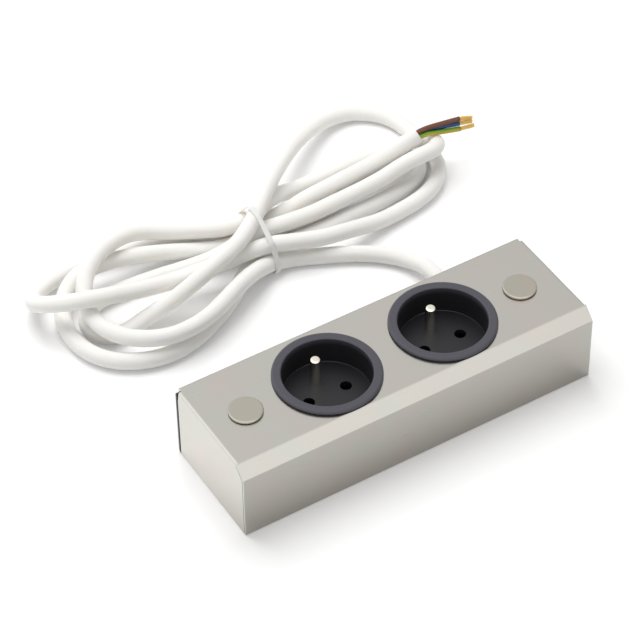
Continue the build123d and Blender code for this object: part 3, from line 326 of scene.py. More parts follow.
def linear(code):
    """Turn an sRGB hex colour to the linear colour that the shaders take."""
    parts = [int(code[i : i + 2], 16) / 255 for i in (1, 3, 5)]
    return (*[p / 12.92 if p <= 0.04045 else ((p + 0.055) / 1.055) ** 2.4 for p in parts], 1)


def add(tree, kind, inputs=None, **settings):
    """Add a node; inputs are values or output sockets, settings are its own properties."""
    made = tree.nodes.new(kind)
    for key, value in settings.items():
        setattr(made, key, value)
    for key, value in (inputs or {}).items():
        if isinstance(value, bpy.types.NodeSocket):
            tree.links.new(value, made.inputs[key])
        else:
            made.inputs[key].default_value = value
    return made


def new_material(name, colour, roughness, metallic=0.0):
    """A material with one Principled shader, ready for its pattern."""
    material = bpy.data.materials.new(name)
    material.use_nodes = True
    tree = material.node_tree
    shader = tree.nodes["Principled BSDF"]
    shader.inputs["Base Color"].default_value = linear(colour)
    shader.inputs["Roughness"].default_value = roughness
    shader.inputs["Metallic"].default_value = metallic
    return material, tree, shader


def object_noise(tree, scale, detail=2.0):
    """Noise on Object coordinates whose features are 1 / scale metres long."""
    place = add(tree, "ShaderNodeTexCoord").outputs["Object"]
    stretched = add(tree, "ShaderNodeMapping", {"Vector": place, "Scale": scale}).outputs[0]
    return add(tree, "ShaderNodeTexNoise", {"Vector": stretched, "Scale": 1.0, "Detail": detail})


def between(tree, value, low, high):
    """Map a 0 to 1 value to a range."""
    return add(tree, "ShaderNodeMapRange", {0: value, 3: low, 4: high}).outputs[0]


def shaded(tree, colour, value, low, high):
    """A colour made darker or lighter by a 0 to 1 value."""
    share = between(tree, value, low, high)
    scaled = add(tree, "ShaderNodeVectorMath", {0: linear(colour)[:3], "Scale": share},
                 operation="SCALE")
    return scaled.outputs[0]


def roughen(tree, shader, height, distance):
    """Raise the surface by a pattern, by distance metres at its highest."""
    bump = add(tree, "ShaderNodeBump", {"Height": height, "Strength": 1.0, "Distance": distance})
    tree.links.new(bump.outputs[0], shader.inputs["Normal"])


def brushed_stainless(name, colour, roughness, settings):
    """Stainless sheet brushed along its length, so the grain turns down at the end flaps."""
    material, tree, shader = new_material(name, colour, roughness, 1.0)
    across, along = 1 / settings.brush_pitch, 1 / settings.brush_length
    place = add(tree, "ShaderNodeTexCoord").outputs["Object"]
    level = add(tree, "ShaderNodeMapping", {"Vector": place, "Scale": (along, across, across)})
    upright = add(tree, "ShaderNodeMapping", {"Vector": place, "Scale": (across, across, along)})
    normal = add(tree, "ShaderNodeNewGeometry").outputs["Normal"]
    facing = add(tree, "ShaderNodeSeparateXYZ", {0: normal}).outputs["X"]
    sideways = add(tree, "ShaderNodeMath", {0: facing}, operation="ABSOLUTE").outputs[0]
    flap_facing = 0.6
    is_end = add(
        tree, "ShaderNodeMath", {0: sideways, 1: flap_facing}, operation="GREATER_THAN"
    )
    grain_place = add(
        tree, "ShaderNodeMix",
        {"Factor": is_end.outputs[0], 4: level.outputs[0], 5: upright.outputs[0]},
        data_type="VECTOR",
    ).outputs[1]
    grain = add(tree, "ShaderNodeTexNoise", {"Vector": grain_place, "Scale": 1.0, "Detail": 3.0})
    cloud = object_noise(tree, (STEEL_CLOUDS,) * 3, 2.0).outputs[0]
    tone = shaded(tree, colour, grain.outputs[0], 0.98, 1.02)
    rosy, greenish = (1.06, 0.98, 0.96), (0.94, 1.02, 1.0)
    tint = add(tree, "ShaderNodeMix", {"Factor": cloud, 4: rosy, 5: greenish},
               data_type="VECTOR").outputs[1]
    toned = add(tree, "ShaderNodeVectorMath", {0: tone, 1: tint}, operation="MULTIPLY")
    tree.links.new(toned.outputs[0], shader.inputs["Base Color"])
    tree.links.new(
        between(tree, grain.outputs[0], roughness - 0.03, roughness + 0.03),
        shader.inputs["Roughness"],
    )
    roughen(tree, shader, grain.outputs[0], BRUSH_DEPTH)
    return material


def moulded_plastic(name, colour, roughness, grain_size, depth=MOULD_DEPTH, deep=None):
    """Satin thermoplastic with the fine grain of a spark-eroded mould; deep, when given, is a
    darker colour below a cup's rim, painted shade for the inside of the cup."""
    material, tree, shader = new_material(name, colour, roughness)
    scale = 1 / grain_size
    grain = object_noise(tree, (scale, scale, scale), 2.0).outputs[0]
    tone = shaded(tree, colour, grain, 0.86, 1.14)
    # Painted shade: below the rim the tone turns to the darker colour
    if deep:
        place = add(tree, "ShaderNodeTexCoord").outputs["Object"]
        height = add(tree, "ShaderNodeSeparateXYZ", {0: place}).outputs["Z"]
        raised = add(
            tree, "ShaderNodeMapRange", {0: height, 1: RECESS_TOP, 2: RIM_FOOT}
        ).outputs[0]
        tone = add(
            tree, "ShaderNodeMix",
            {"Factor": raised, 4: shaded(tree, deep, grain, 0.86, 1.14), 5: tone},
            data_type="VECTOR",
        ).outputs[1]
    tree.links.new(tone, shader.inputs["Base Color"])
    tree.links.new(
        between(tree, grain, roughness - 0.06, roughness + 0.06), shader.inputs["Roughness"]
    )
    roughen(tree, shader, grain, depth)
    return material


def plated(name, colour, roughness):
    """Turned or stamped metal, bright plated; slight mottling keeps it from a mirror."""
    material, tree, shader = new_material(name, colour, roughness, 1.0)
    mottle = object_noise(tree, (PLATING_MOTTLE,) * 3, 2.0).outputs[0]
    tree.links.new(shaded(tree, colour, mottle, 0.94, 1.05), shader.inputs["Base Color"])
    tree.links.new(
        between(tree, mottle, roughness - 0.05, roughness + 0.08), shader.inputs["Roughness"]
    )
    roughen(tree, shader, mottle, PLATING_DEPTH)
    return material


def powder_coat(name, colour):
    """Black polyester powder on steel; the orange peel breaks up its sheen."""
    material, tree, shader = new_material(name, colour, 0.45)
    peel = object_noise(tree, (POWDER_PEEL,) * 3, 2.0).outputs[0]
    tree.links.new(between(tree, peel, 0.38, 0.56), shader.inputs["Roughness"])
    tree.links.new(shaded(tree, colour, peel, 0.8, 1.25), shader.inputs["Base Color"])
    roughen(tree, shader, peel, PEEL_DEPTH)
    return material


def soft_pvc(name, colour, roughness=0.42):
    """Extruded plasticised PVC: milky, with a satin skin and faint draw marks."""
    material, tree, shader = new_material(name, colour, roughness)
    light_reach = (0.004, 0.0034, 0.0027)
    shader.inputs["Subsurface Weight"].default_value = 0.4
    shader.inputs["Subsurface Radius"].default_value = light_reach
    shader.inputs["Subsurface Scale"].default_value = 1.0
    skin = object_noise(tree, (JACKET_SKIN,) * 3, 3.0).outputs[0]
    cloud = object_noise(tree, (JACKET_CLOUDS,) * 3, 1.0).outputs[0]
    tree.links.new(shaded(tree, colour, cloud, 0.97, 1.02), shader.inputs["Base Color"])
    tree.links.new(
        between(tree, skin, roughness - 0.08, roughness + 0.08), shader.inputs["Roughness"]
    )
    roughen(tree, shader, skin, JACKET_DEPTH)
    return material


def two_colour_pvc(name, first, second):
    """Earth insulation: green with a yellow band that winds slowly along the core."""
    material, tree, shader = new_material(name, first, 0.38)
    sheet = add(tree, "ShaderNodeUVMap", uv_map="round_and_along").outputs[0]
    split = add(tree, "ShaderNodeSeparateXYZ", {0: sheet})
    wound = add(
        tree, "ShaderNodeMath", {0: split.outputs["Y"], 1: BAND_TURNS, 2: BAND_START},
        operation="MULTIPLY_ADD",
    )
    turn = add(
        tree, "ShaderNodeMath", {0: split.outputs["X"], 1: wound.outputs[0]}, operation="ADD"
    )
    part = add(tree, "ShaderNodeMath", {0: turn.outputs[0]}, operation="FRACT").outputs[0]
    band = add(tree, "ShaderNodeMath", {0: part, 1: 0.5}, operation="GREATER_THAN").outputs[0]
    colour = add(
        tree, "ShaderNodeMix", {"Factor": band, 6: linear(first), 7: linear(second)},
        data_type="RGBA",
    ).outputs[2]
    tree.links.new(colour, shader.inputs["Base Color"])
    skin = object_noise(tree, (CORE_SKIN,) * 3, 2.0).outputs[0]
    tree.links.new(between(tree, skin, 0.32, 0.46), shader.inputs["Roughness"])
    roughen(tree, shader, skin, CORE_DEPTH)
    return material


def dress(material, *nodes):
    """Give CAD nodes that keep their shape a finished material."""
    for name in nodes:
        for slot in NODES[name].material_slots:
            slot.material = material


def mesh_object(name, mesh, material):
    """Put a finished mesh in the scene, in place, riding on the block."""
    made = bpy.data.objects.new(name, mesh)
    bpy.context.scene.collection.objects.link(made)
    made.data.materials.clear()
    made.data.materials.append(material)
    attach(made, BODY)
    return made


def nurbs_curve(name, points):
    """One open NURBS spline of order 3 with the given control points, in millimetres."""
    curve = bpy.data.curves.new(name, "CURVE")
    curve.dimensions = "3D"
    curve.resolution_u = 8
    spline = curve.splines.new("NURBS")
    spline.points.add(len(points) - 1)
    for place, point in zip(spline.points, points):
        place.co = (*[value * MM for value in point], 1)
    spline.order_u = 3
    spline.use_endpoint_u = True
    made = bpy.data.objects.new(name, curve)
    bpy.context.scene.collection.objects.link(made)
    return made


def line_of(points):
    """Points along the smooth line of a NURBS curve with no bevel."""
    guide = nurbs_curve("guide_line", points)
    mesh = bpy.data.meshes.new_from_object(guide)
    line = [vertex.co.copy() for vertex in mesh.vertices]
    bpy.data.objects.remove(guide)
    bpy.data.meshes.remove(mesh)
    return line


def frames_along(line):
    """A tangent and two square directions at each point, carried along without twist."""
    across = Vector((0, 0, 1))
    for i, point in enumerate(line):
        tangent = (line[min(i + 1, len(line) - 1)] - line[max(i - 1, 0)]).normalized()
        across = (across - tangent * across.dot(tangent)).normalized()
        yield point, across, tangent.cross(across)


def tube_mesh(name, line, radius, sides=24):
    """A capped tube along a line, with a UV of turns round and centimetres along."""
    mesh = bpy.data.meshes.new(name)
    work = bmesh.new()
    uv = work.loops.layers.uv.new("round_and_along")
    rings, reach, travelled = [], [], 0.0
    for i, (point, across, over) in enumerate(frames_along(line)):
        travelled += (point - line[i - 1]).length if i else 0.0
        reach.append(travelled)
        turns = [2 * pi * k / sides for k in range(sides)]
        rings.append([
            work.verts.new(point + (across * cos(t) + over * sin(t)) * radius) for t in turns
        ])
    for i in range(len(rings) - 1):
        for k in range(sides):
            near = (k + 1) % sides
            low, high = rings[i], rings[i + 1]
            face = work.faces.new((low[k], low[near], high[near], high[k]))
            face.smooth = True
            corners = ((k, i), (k + 1, i), (k + 1, i + 1), (k, i + 1))
            for loop, (u, v) in zip(face.loops, corners):
                loop[uv].uv = (u / sides, reach[v] * CM_PER_METRE)
    for ring, point in ((rings[0], line[0]), (rings[-1], line[-1])):
        middle = work.verts.new(point)
        for k in range(sides):
            work.faces.new((ring[k], ring[(k + 1) % sides], middle))
    bmesh.ops.recalc_face_normals(work, faces=work.faces)
    work.to_mesh(mesh)
    work.free()
    return mesh


class SOCKETBLOCK_OT_lead(bpy.types.Operator):
    """Lay the white lead from its boot, through the hank, to its free end"""

    bl_idname = "socketblock.lead"
    bl_label = "Lead and hank"

    def execute(self, context):
        settings = context.scene.socketblock_cord
        lead = nurbs_curve("mains_lead", ROUTE)
        lead.data.bevel_depth = settings.diameter / 2
        lead.data.bevel_resolution = 6
        lead.data.use_fill_caps = True
        # Extruded white PVC: warm white, satin, with light that soaks in a little
        jacket = soft_pvc("white_pvc_jacket", settings.jacket)
        lead.data.materials.append(jacket)
        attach(lead, BODY)
        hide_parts("power_cord", "cord_hank", "cord_free_end")
        dress(jacket, "cable_inlet")
        return {"FINISHED"}


def strip_mesh(name, course, across, width, thickness, closed=True):
    """A flat strip with rounded edges swept along a course that lies square to across."""
    half, edge = width / 2, thickness * 0.4
    section = [
        (-half, edge), (-half + edge, 0), (half - edge, 0), (half, edge),
        (half, thickness - edge), (half - edge, thickness), (-half + edge, thickness),
        (-half, thickness - edge),
    ]
    work = bmesh.new()
    rings = []
    last = len(course) - 1
    for i, place in enumerate(course):
        ahead = course[(i + 1) % len(course) if closed else min(i + 1, last)]
        behind = course[i - 1 if closed else max(i - 1, 0)]
        outward = (ahead - behind).cross(across).normalized()
        rings.append([work.verts.new(place + across * w + outward * lift) for w, lift in section])
    if closed:
        rings.append(rings[0])
    else:
        work.faces.new(rings[0])
        work.faces.new(rings[-1])
    for ring, following in zip(rings, rings[1:]):
        for k in range(len(section)):
            after = (k + 1) % len(section)
            face = work.faces.new((ring[k], ring[after], following[after], following[k]))
            face.smooth = True
    bmesh.ops.recalc_face_normals(work, faces=work.faces)
    mesh = bpy.data.meshes.new(name)
    work.to_mesh(mesh)
    work.free()
    return mesh


def tie_outline(samples=40):
    """The taut line round the tied strands, as (y, z) points."""
    points = []
    for y, z, room in TIED_STRANDS:
        reach = CORD_RADIUS + room
        turns = [2 * pi * k / samples for k in range(samples)]
        points += [(y + reach * cos(t), z + reach * sin(t)) for t in turns]
    points.sort()
    hull = []
    for ordered in (points, points[::-1]):
        half = []
        for p in ordered:
            while len(half) > 1 and turn_of(half[-2], half[-1], p) <= 0:
                half.pop()
            half.append(p)
        hull += half[:-1]
    return hull


def turn_of(a, b, c):
    """Which way the corner at b turns, as the sign of an area."""
    return (b[0] - a[0]) * (c[1] - a[1]) - (b[1] - a[1]) * (c[0] - a[0])


def evenly(outline, step):
    """Points a step apart round a closed outline."""
    spaced = []
    for a, b in zip(outline, outline[1:] + outline[:1]):
        span = Vector(b) - Vector(a)
        parts = max(1, round(span.length / step))
        spaced += [Vector(a) + span * k / parts for k in range(parts)]
    return spaced


class SOCKETBLOCK_OT_tie(bpy.types.Operator):
    """Pull a narrow milky strip round the strands of the hank"""

    bl_idname = "socketblock.tie"
    bl_label = "Tie"

    def execute(self, context):
        settings = context.scene.socketblock_cord
        course = [Vector((TIE_X, *spot)) * MM for spot in evenly(tie_outline(), TIE_STEP)]
        mesh = strip_mesh(
            "hank_tie", course, Vector((1, 0, 0)), settings.tie_width, settings.tie_thickness
        )
        # Polythene strip: milky and a little glossier than the jacket, so it just stands out
        strip = soft_pvc("milky_polythene_strip", settings.tie, roughness=0.3)
        tie = mesh_object("hank_tie", mesh, strip)
        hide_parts("cord_tie")
        return {"FINISHED"}


def core_points(angle, bends):
    """Points of a core that leaves the jacket square to its cut end."""
    cut, before = Vector(FREE_END[-1]), Vector(FREE_END[-2])
    along = (cut - before).normalized()
    back = Vector((0, 1, 0))
    back = (back - along * back.dot(along)).normalized()
    up = along.cross(back)
    away = (back * cos(radians(angle)) + up * sin(radians(angle))) * CORE_SPREAD
    return [cut + away, cut + away + along * CORE_SQUARE_RUN, *[Vector(b) for b in bends]]


def strand_tree(material, settings):
    """Geometry Nodes: copper strands wound round a bare end's line."""
    tree = bpy.data.node_groups.new("wound_strands", "GeometryNodeTree")
    face = tree.interface
    face.new_socket("Line", in_out="INPUT", socket_type="NodeSocketGeometry")
    sizes = {
        "Strand radius": settings.strand_diameter / 2,
        "Lay length": settings.lay_length,
        "Winding radius": CORE_RADIUS * MM * WINDING_SHARE - settings.strand_diameter / 2,
    }
    for name, value in sizes.items():
        socket = face.new_socket(name, in_out="INPUT", socket_type="NodeSocketFloat")
        socket.default_value = value
    count = face.new_socket("Outer strands", in_out="INPUT", socket_type="NodeSocketInt")
    count.default_value = settings.outer_strands
    face.new_socket("Strands", in_out="OUTPUT", socket_type="NodeSocketGeometry")
    given = add(tree, "NodeGroupInput").outputs
    line = add(tree, "GeometryNodeResampleCurve", {"Curve": given["Line"], "Count": 24})
    profile = add(
        tree, "GeometryNodeCurvePrimitiveCircle",
        {"Resolution": 10, "Radius": given["Strand radius"]},
    )
    joined = add(tree, "GeometryNodeJoinGeometry")
    # Strands in each layer, its share of the winding radius and the seed of its uneven cut
    layers = ((given["Outer strands"], 1.0, 3), (5, 0.45, 8), (1, 0.0, 5))
    for amount, share, seed in layers:
        copies = add(
            tree, "GeometryNodeDuplicateElements", {"Geometry": line.outputs[0], "Amount": amount},
            domain="SPLINE",
        )
        kept = add(
            tree, "GeometryNodeCaptureAttribute", {"Geometry": copies.outputs[0]}, domain="CURVE"
        )
        kept.capture_items.new("FLOAT", "place")
        tree.links.new(copies.outputs["Duplicate Index"], kept.inputs["place"])
        start = add(
            tree, "ShaderNodeMath", {0: kept.outputs["place"], 1: amount}, operation="DIVIDE"
        )
        run = add(tree, "GeometryNodeSplineParameter").outputs["Length"]
        wound = add(
            tree, "ShaderNodeMath", {0: run, 1: given["Lay length"]}, operation="DIVIDE"
        )
        turn = add(
            tree, "ShaderNodeMath", {0: start.outputs[0], 1: wound.outputs[0]}, operation="ADD"
        )
        angle = add(
            tree, "ShaderNodeMath", {0: turn.outputs[0], 1: 2 * pi}, operation="MULTIPLY"
        ).outputs[0]
        tangent = add(tree, "GeometryNodeInputTangent").outputs[0]
        away = add(tree, "GeometryNodeInputNormal").outputs[0]
        turned = add(
            tree, "ShaderNodeVectorRotate", {"Vector": away, "Axis": tangent, "Angle": angle},
            rotation_type="AXIS_ANGLE",
        ).outputs[0]
        reach = add(
            tree, "ShaderNodeMath", {0: given["Winding radius"], 1: share}, operation="MULTIPLY"
        ).outputs[0]
        offset = add(
            tree, "ShaderNodeVectorMath", {0: turned, "Scale": reach}, operation="SCALE"
        ).outputs[0]
        moved = add(
            tree, "GeometryNodeSetPosition", {"Geometry": kept.outputs[0], "Offset": offset}
        )
        cut = add(
            tree, "FunctionNodeRandomValue", {2: SHORTEST_STRAND, 3: 1.0, "Seed": seed},
            data_type="FLOAT",
        )
        trimmed = add(
            tree, "GeometryNodeTrimCurve", {"Curve": moved.outputs[0], 3: cut.outputs[1]},
            mode="FACTOR",
        )
        wire = add(
            tree, "GeometryNodeCurveToMesh",
            {"Curve": trimmed.outputs[0], "Profile Curve": profile.outputs[0], "Fill Caps": True},
        )
        tree.links.new(wire.outputs[0], joined.inputs[0])
    real = add(tree, "GeometryNodeRealizeInstances", {0: joined.outputs[0]})
    smooth = add(tree, "GeometryNodeSetShadeSmooth", {0: real.outputs[0]})
    coated = add(tree, "GeometryNodeSetMaterial", {0: smooth.outputs[0], "Material": material})
    add(tree, "NodeGroupOutput", {0: coated.outputs[0]})
    return tree


def through_nodes(source, tree):
    """Run a Geometry Nodes tree on an object and return the plain mesh."""
    modifier = source.modifiers.new("shape", "NODES")
    modifier.node_group = tree
    evaluated = source.evaluated_get(bpy.context.evaluated_depsgraph_get())
    mesh = bpy.data.meshes.new_from_object(evaluated)
    source.modifiers.remove(modifier)
    return mesh


class SOCKETBLOCK_OT_cores(bpy.types.Operator):
    """Make the three free cores and their stranded bare ends"""

    bl_idname = "socketblock.cores"
    bl_label = "Free cores"

    def execute(self, context):
        settings = context.scene.socketblock_cord
        # Extruded PVC insulation: full colour with a satin sheen, smoother than the jacket
        skins = {
            "core_brown": soft_pvc("brown_pvc_insulation", settings.brown, roughness=0.36),
            "core_blue": soft_pvc("blue_pvc_insulation", settings.blue, roughness=0.36),
            "core_green_yellow": two_colour_pvc(
                "green_yellow_pvc_insulation", settings.green, settings.yellow
            ),
        }
        slots = ("insulation_brown", "insulation_blue", "insulation_green_yellow")
        # Bright drawn copper: pale gold, glinting along each strand
        copper = plated("twisted_copper_strands", settings.copper, roughness=0.3)
        tree = strand_tree(copper, settings)
        bare = bmesh.new()
        for (node, (angle, bends, tip)), slot in zip(CORES.items(), slots):
            points = core_points(angle, bends)
            line = line_of(points)
            piece = f"{node.removeprefix('core_')}_core"
            mesh = tube_mesh(piece, line, settings.core_diameter / 2)
            core = mesh_object(piece, mesh, skins[node])
            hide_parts(node)
            ahead = (points[-1] - points[-2]).normalized() * CORE_SQUARE_RUN / 2
            inside = points[-1] - ahead * START_BACK
            guide = nurbs_curve("bare_line", [inside, points[-1] + ahead, Vector(tip)])
            wound = through_nodes(guide, tree)
            bare.from_mesh(wound)
            bpy.data.objects.remove(guide)
            bpy.data.meshes.remove(wound)
        mesh = bpy.data.meshes.new("bare_ends")
        bare.to_mesh(mesh)
        bare.free()
        ends = mesh_object("bare_ends", mesh, copper)
        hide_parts("bare_conductors")
        return {"FINISHED"}


class SOCKETBLOCK_OT_housing(bpy.types.Operator):
    """Finish the folded cover, the screw caps and the black chassis"""

    bl_idname = "socketblock.housing"
    bl_label = "Housing"

    def execute(self, context):
        settings = context.scene.socketblock_block
        # Brushed stainless sheet: warm grey with soft, long reflections and faint clouds
        sheet = brushed_stainless(
            "brushed_stainless_sheet", settings.steel, roughness=0.26, settings=settings
        )
        dress(sheet, "housing_cover")
        # Pressed stainless: a little darker and duller than the sheet, so the discs read apart
        caps = brushed_stainless(
            "brushed_stainless_cap", settings.cap_steel, roughness=0.3, settings=settings
        )
        dress(caps, *[f"screw_cap_{side}" for side in SIDES])
        # Powder on steel: near black with a broken sheen, seen as a line behind the flap
        dress(powder_coat("black_powder_coat", settings.powder), "chassis")
        # Bright zinc: cool and light, with a slight mottle
        zinc = plated("bright_zinc_plate", ZINC, roughness=0.32)
        dress(zinc, "cover_pillars", "base_screws", "fixing_sleeves", "clamp_screws", "earth_nut")
        # Nitrile rubber: black and nearly matt
        rubber = moulded_plastic("black_nitrile_rubber", RUBBER, roughness=0.7, grain_size=0.0006)
        dress(rubber, "cable_boot", *[f"cap_ring_{side}" for side in SIDES])
        return {"FINISHED"}


class SOCKETBLOCK_OT_sockets(bpy.types.Operator):
    """Finish the moulded cups, their pins and what lies below them"""

    bl_idname = "socketblock.sockets"
    bl_label = "Sockets"

    def execute(self, context):
        settings = context.scene.socketblock_block
        finishes = {
            # Satin polyamide: a bluish black rim that catches the light, with painted shade, a
            # darker colour, below the rim
            "socket_cup": moulded_plastic(
                "black_polyamide_moulding", settings.socket, roughness=0.46,
                grain_size=settings.mould_grain, deep=settings.recess_shade,
            ),
            # Plain polyamide: dull dark grey
            "contact_block": moulded_plastic(
                "grey_polyamide_moulding", CARRIER, roughness=0.55,
                grain_size=settings.mould_grain,
            ),
            # Acetal: black, smooth and slightly waxy
            "shutter": moulded_plastic(
                "black_acetal_slide", SLIDE, roughness=0.35, grain_size=0.0008,
                depth=SLIDE_DEPTH,
            ),
            # Nickel on turned brass: a bright, warm glint at the tip
            "earth_pin": plated("nickel_plated_brass", settings.nickel, roughness=0.16),
            # Stamped brass: dull gold
            "live_contact": plated("stamped_brass", BRASS, roughness=0.3),
            # Rolled spring steel: mid grey with a soft shine
            "retaining_clips": plated("rolled_spring_steel", CLIP_STEEL, roughness=0.28),
            # Zinc on steel: cool and light
            "terminal_screws": plated("zinc_plated_screw", ZINC, roughness=0.3),
        }
        finishes |= {
            "neutral_contact": finishes["live_contact"],
            "earth_strap": finishes["live_contact"],
            "block_screws": finishes["terminal_screws"],
        }
        for part, material in finishes.items():
            dress(material, *[f"{part}_{side}" for side in SIDES])
        return {"FINISHED"}


class SOCKETBLOCK_OT_springs(bpy.types.Operator):
    """Bow a steel leaf in front of each shutter"""

    bl_idname = "socketblock.springs"
    bl_label = "Shutter springs"

    def execute(self, context):
        settings = context.scene.socketblock_block
        # Tempered spring steel: cool mid grey with a soft shine
        steel = plated("blued_spring_leaf", settings.spring, roughness=0.28)
        thick = settings.spring_thickness
        for side in SIDES:
            low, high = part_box(f"shutter_spring_{side}")
            half_chord = (high[0] - low[0]) / 2
            rise = high[1] - low[1] - thick
            radius = (half_chord ** 2 + rise ** 2) / 2 / rise
            middle = Vector(((low[0] + high[0]) / 2, high[1] - radius, (low[2] + high[2]) / 2))
            reach = asin(half_chord / radius) * LEAF_SHARE
            turns = [reach * (k / LEAF_STEPS - 1) for k in range(2 * LEAF_STEPS + 1)]
            inner = radius - thick
            course = [middle + Vector((sin(t) * inner, cos(t) * inner, 0)) for t in turns]
            name = f"spring_leaf_{side}"
            mesh = strip_mesh(name, course, Vector((0, 0, 1)), high[2] - low[2], thick, False)
            leaf = mesh_object(name, mesh, steel)
            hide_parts(f"shutter_spring_{side}")
            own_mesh(leaf)
        return {"FINISHED"}


class SOCKETBLOCK_OT_wiring(bpy.types.Operator):
    """Finish the cord clamp, the earth lug and the wires inside"""

    bl_idname = "socketblock.wiring"
    bl_label = "Wiring inside"

    def execute(self, context):
        settings = context.scene.socketblock_cord
        # Uncoloured polyamide: dull bone white
        clamp = moulded_plastic(
            "natural_polyamide_clamp", CLAMP, roughness=0.5, grain_size=0.0005
        )
        dress(clamp, "clamp_saddle", "clamp_bar")
        # Tinned brass: pale and fairly bright
        dress(plated("tinned_brass_lug", TINNED_BRASS, roughness=0.25), "earth_lug")
        # Extruded PVC insulation: full colour with a satin sheen, as on the free cores
        for wire, name, colour in (
            ("wire_brown", "brown_pvc_wire", settings.brown),
            ("wire_blue", "blue_pvc_wire", settings.blue),
            ("wire_green_yellow", "green_pvc_wire", settings.green),
        ):
            dress(soft_pvc(name, colour, roughness=0.36), wire)
        return {"FINISHED"}


def softbox(name, place, target, size, strength):
    """A square studio light that faces its target; strength is its radiance."""
    lamp = bpy.data.lights.new(name, "AREA")
    lamp.shape = "SQUARE"
    lamp.size = size
    lamp.energy = strength * pi * size * size
    made = bpy.data.objects.new(name, lamp)
    made.location = place
    made.rotation_mode = "QUATERNION"
    made.rotation_quaternion = (Vector(target) - Vector(place)).to_track_quat("-Z", "Y")
    bpy.context.scene.collection.objects.link(made)
    return made


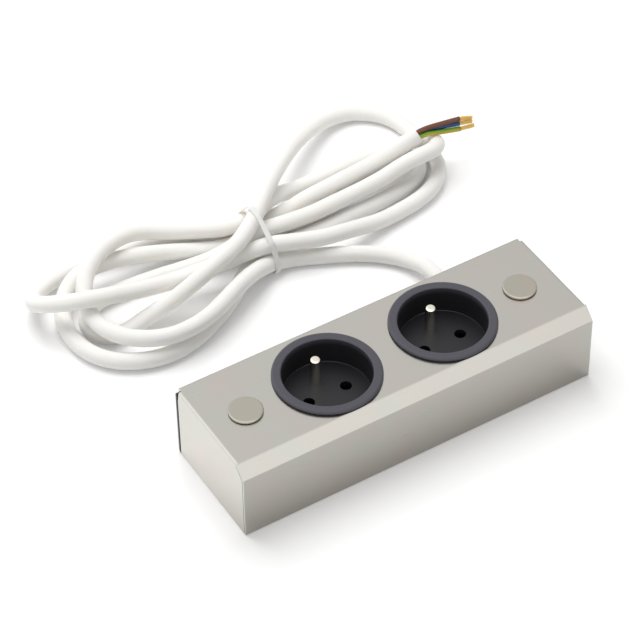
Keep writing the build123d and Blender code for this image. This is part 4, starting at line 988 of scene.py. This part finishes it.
class SOCKETBLOCK_OT_stage(bpy.types.Operator):
    """Set the white table, the soft light and the photograph's camera"""

    bl_idname = "socketblock.stage"
    bl_label = "Stage"

    def execute(self, context):
        settings = context.scene.socketblock_stage
        scene = context.scene
        self.make_camera(scene, settings)
        self.make_floor(settings)
        self.make_light(scene)
        scene.view_settings.view_transform = "Standard"
        return {"FINISHED"}

    def make_camera(self, scene, settings):
        target = Vector(CAMERA_TARGET)
        az, el = settings.azimuth, settings.elevation
        back = Vector((sin(az) * cos(el), -cos(az) * cos(el), sin(el)))
        right = Vector((cos(az), sin(az), 0))
        up = back.cross(right)
        level = Matrix((right, up, back)).transposed()
        lens = bpy.data.cameras.new("photo_camera")
        lens.sensor_width = SENSOR_WIDTH
        lens.lens = settings.focal_px * lens.sensor_width / PICTURE_WIDTH
        lens.clip_start, lens.clip_end = CLIP_RANGE
        camera = bpy.data.objects.new("photo_camera", lens)
        turn = Matrix.Rotation(settings.roll, 3, "Z")
        camera.matrix_world = (level @ turn).to_4x4()
        camera.location = target + back * settings.distance
        scene.collection.objects.link(camera)
        scene.camera = camera

    def make_floor(self, settings):
        mesh = bpy.data.meshes.new("table_top")
        reach = FLOOR_REACH
        corners = [(-reach, -reach, 0), (reach, -reach, 0), (reach, reach, 0), (-reach, reach, 0)]
        mesh.from_pydata(corners, [], [(0, 1, 2, 3)])
        floor = bpy.data.objects.new("table_top", mesh)
        bpy.context.scene.collection.objects.link(floor)
        # White paper: matt and clean, keeps the object's shadow and burns out round it
        material, tree, shader = new_material("white_paper_sweep", settings.floor, 0.9)
        shader.inputs["Specular IOR Level"].default_value = 0.0
        shader.inputs["Emission Color"].default_value = (1, 1, 1, 1)
        rays = add(tree, "ShaderNodeLightPath").outputs
        place = add(tree, "ShaderNodeTexCoord").outputs["Object"]
        backward = add(tree, "ShaderNodeVectorMath", {0: place, 1: FLOOR_DIAGONAL},
                       operation="DOT_PRODUCT").outputs["Value"]
        limits = dict(enumerate((*FLOOR_SPAN, *FLOOR_MIRRORED), 1))
        mirrored = add(tree, "ShaderNodeMapRange", {0: backward} | limits)
        # Painted reflection: for glossy rays only, the floor glows more towards the back-left, so
        # the metal end flap mirrors a brighter floor there
        painted_glow_in_metal = add(tree, "ShaderNodeMath", {0: rays["Is Glossy Ray"], 1: mirrored.outputs[0]},
                       operation="MULTIPLY")
        seen = add(tree, "ShaderNodeMath",
                   {0: rays["Is Camera Ray"], 1: rays["Is Transmission Ray"]}, operation="MAXIMUM")
        lift = add(tree, "ShaderNodeMath",
                   {0: seen.outputs[0], 1: FLOOR_LIFT, 2: painted_glow_in_metal.outputs[0]},
                   operation="MULTIPLY_ADD")
        tree.links.new(lift.outputs[0], shader.inputs["Emission Strength"])
        mesh.materials.append(material)

    def make_light(self, scene):
        key = softbox("window_light", LAMP_PLACE, LAMP_TARGET, LAMP_SIZE, LAMP_RADIANCE)
        key.visible_glossy = False
        world = bpy.data.worlds.new("pale_room")
        scene.world = world
        world.use_nodes = True
        tree = world.node_tree
        sky = tree.nodes["Background"]
        sky.inputs["Color"].default_value = (1, 1, 1, 1)
        rays = add(tree, "ShaderNodeLightPath").outputs
        heading = add(tree, "ShaderNodeTexCoord").outputs["Generated"]
        facing = add(tree, "ShaderNodeVectorMath", {0: heading, 1: ROOM_HEADING},
                     operation="DOT_PRODUCT").outputs["Value"]
        limits = dict(enumerate((*ROOM_SPAN, *ROOM_MIRRORED), 1))
        walls = add(tree, "ShaderNodeMapRange", {0: facing} | limits)
        lit = add(tree, "ShaderNodeMix",
                  {0: rays["Is Glossy Ray"], 2: ROOM_LIGHT, 3: walls.outputs[0]})
        seen = add(tree, "ShaderNodeMath",
                   {0: rays["Is Camera Ray"], 1: rays["Is Transmission Ray"]}, operation="MAXIMUM")
        level = add(tree, "ShaderNodeMix", {0: seen.outputs[0], 2: lit.outputs[0], 3: 1.0})
        tree.links.new(level.outputs[0], sky.inputs["Strength"])


class SOCKETBLOCK_PT_panel(bpy.types.Panel):
    """Lists the pieces of the socket block"""

    bl_label = "Socket block"
    bl_space_type = "VIEW_3D"
    bl_region_type = "UI"
    bl_category = "Socket block"

    def draw(self, context):
        for operator in OPERATORS:
            self.layout.operator(operator.bl_idname)
        for group in SETTINGS:
            holder = getattr(context.scene, group)
            for name in holder.__annotations__:
                self.layout.prop(holder, name)


OPERATORS = (
    SOCKETBLOCK_OT_lead,
    SOCKETBLOCK_OT_tie,
    SOCKETBLOCK_OT_cores,
    SOCKETBLOCK_OT_housing,
    SOCKETBLOCK_OT_sockets,
    SOCKETBLOCK_OT_springs,
    SOCKETBLOCK_OT_wiring,
    SOCKETBLOCK_OT_stage,
)
SETTINGS = {
    "socketblock_cord": CordSettings,
    "socketblock_block": BlockSettings,
    "socketblock_stage": StageSettings,
}
CLASSES = (*SETTINGS.values(), *OPERATORS, SOCKETBLOCK_PT_panel)


def register():
    for item in CLASSES:
        bpy.utils.register_class(item)
    for name, group in SETTINGS.items():
        setattr(bpy.types.Scene, name, PointerProperty(type=group))


def unregister():
    for name in SETTINGS:
        delattr(bpy.types.Scene, name)
    for item in reversed(CLASSES):
        bpy.utils.unregister_class(item)


def main():
    register()
    bpy.ops.socketblock.lead()
    bpy.ops.socketblock.tie()
    bpy.ops.socketblock.cores()
    bpy.ops.socketblock.housing()
    bpy.ops.socketblock.sockets()
    bpy.ops.socketblock.springs()
    bpy.ops.socketblock.wiring()
    bpy.ops.socketblock.stage()


if __name__ == "__main__":
    main()
